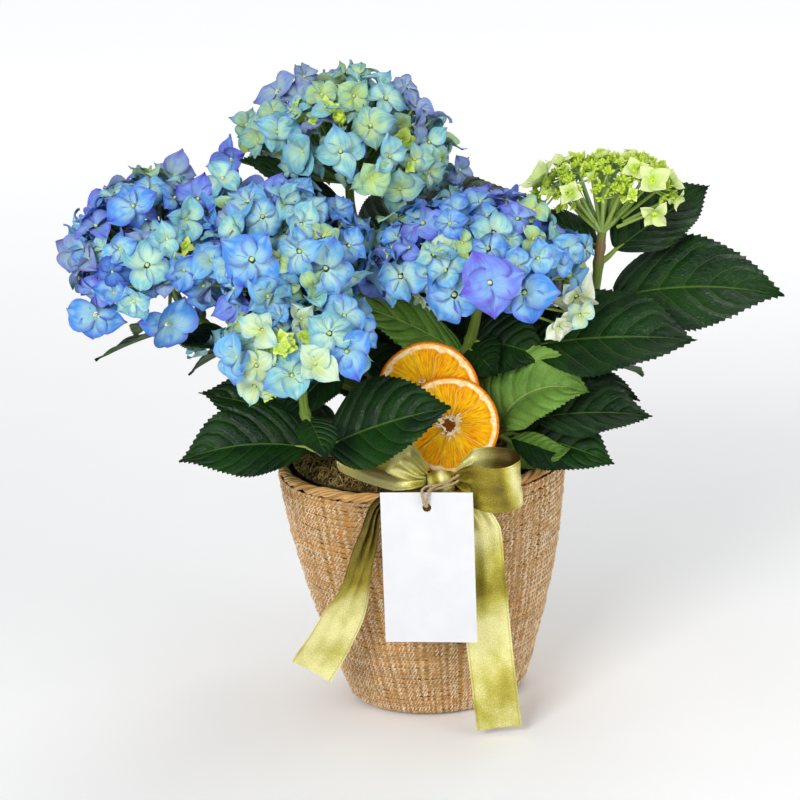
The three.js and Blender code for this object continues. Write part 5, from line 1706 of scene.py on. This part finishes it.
skin = Skin("card")
front, back = on_card(-CARD_HALF), on_card(CARD_HALF)
card_map = (np.concatenate([flat, flat[:, :1]], 1) + [26, 78]) / [52, 88]
skin.grid(front, card_map, wrap=True, flip=True)
skin.grid(back, card_map, wrap=True)
for row, flip in ((0, False), (-1, True)):
    side_map = np.stack([card_map[row], card_map[row]])
    skin.grid(np.stack([front[row], back[row]]), side_map, wrap=True, flip=flip)
skin.make("card", [card_paper], "card", "blank_card")

# %% Twine
STRAND_RADIUS = 0.43
STRAND_OFFSET = 0.38
LAY_LENGTH = 3.4
HAIRS = 14
HAIR = np.array([[0, 0, 0], [0.3, 0, 0.1], [0.5, 0, 0.4]])
TWINE = [
    [[8.2, -89, 149.2], [4.2, -94.2, 149.5], [2.2, -97.6, 149.2], [1.2, -98.8, 146.6],
     [0.2, -98.8, 142.15], [0.2, -97.6, 140.55], [0.2, -95.6, 140.55], [0.6, -94.2, 142.15],
     [3.7, -92.4, 139.6], [7.2, -88.8, 141.6]],
    [[0.4, -95.4, 140.1], [-0.6, -98.2, 141.0], [-1.4, -99.0, 144.0], [-1.8, -98.0, 149.3], [1, -94.5, 150.6],
     [7, -91.5, 150.0], [13, -90.6, 151.6], [18, -89.2, 153.6], [19.5, -86.5, 153.4]],
    [[1, -91.5, 147.2], [6, -91.8, 148], [12, -91.2, 149], [17.5, -89.8, 150.6], [19.2, -87, 151]],
]

look = Finish("jute", roughness=0.85, specular=0.2)
lay = streaks(look.chart("strand_map"), 8, 900)
colour = ramp(lay, (0.3, (150, 122, 84)), (0.55, (194, 170, 130)), (0.8, (226, 208, 172)))
jute = look.paint(colour, lay, depth=0.0003)

paths, radii = [], []
for line in map(Route, TWINE):
    t = np.linspace(0, 1, int(line.length * 3.4))
    middle = line.at(t)
    _, normals, binormals = frames_along(middle)
    for start in (0, np.pi):
        wind = (start + t * line.length / LAY_LENGTH * TAU)[:, None]
        paths.append(middle + STRAND_OFFSET * (np.cos(wind) * normals + np.sin(wind) * binormals))
        radii.append(STRAND_RADIUS)
    for _ in range(HAIRS):
        root = rng.integers(4, len(t) - 4)
        loose = HAIR * rng.normal(0, 1.3, 3)
        paths.append(middle[root] + unit(rng.normal(size=3)) * 0.4 + loose)
        radii.append(0.05)
strands("twine", paths, radii, 7, jute, "twine", "twine_loop")

# %% [markdown]
# ## Floor, sizes and the end
# A plain pale floor carries the basket. The last cell finds the box that holds what is seen.

# %% Floor
FLOOR_HALF = 5000

look = Finish("floor", roughness=0.8, specular=0.2)
spot = look.place()
look.paint(mix(noise(spot, 12, 2), (248, 248, 248), (251, 251, 251)))
away = wire(look.tree, "ShaderNodeVectorMath", {0: spot}, "Value", operation="LENGTH")
look.join(step(away, 0.3, 2.6, 0.04, 0.5), "Emission Strength")
look.shader.inputs["Emission Color"].default_value = (1, 1, 1, 1)
skin = Skin("floor_map")
side = np.linspace(-FLOOR_HALF, FLOOR_HALF, 9)
level = chart(side, side)
skin.grid(np.dstack([level, np.full((9, 9), -0.3)]), level / (2 * FLOOR_HALF) + 0.5)
skin.make("floor", [look.material])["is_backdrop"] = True

# %% Sizes
low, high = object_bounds()
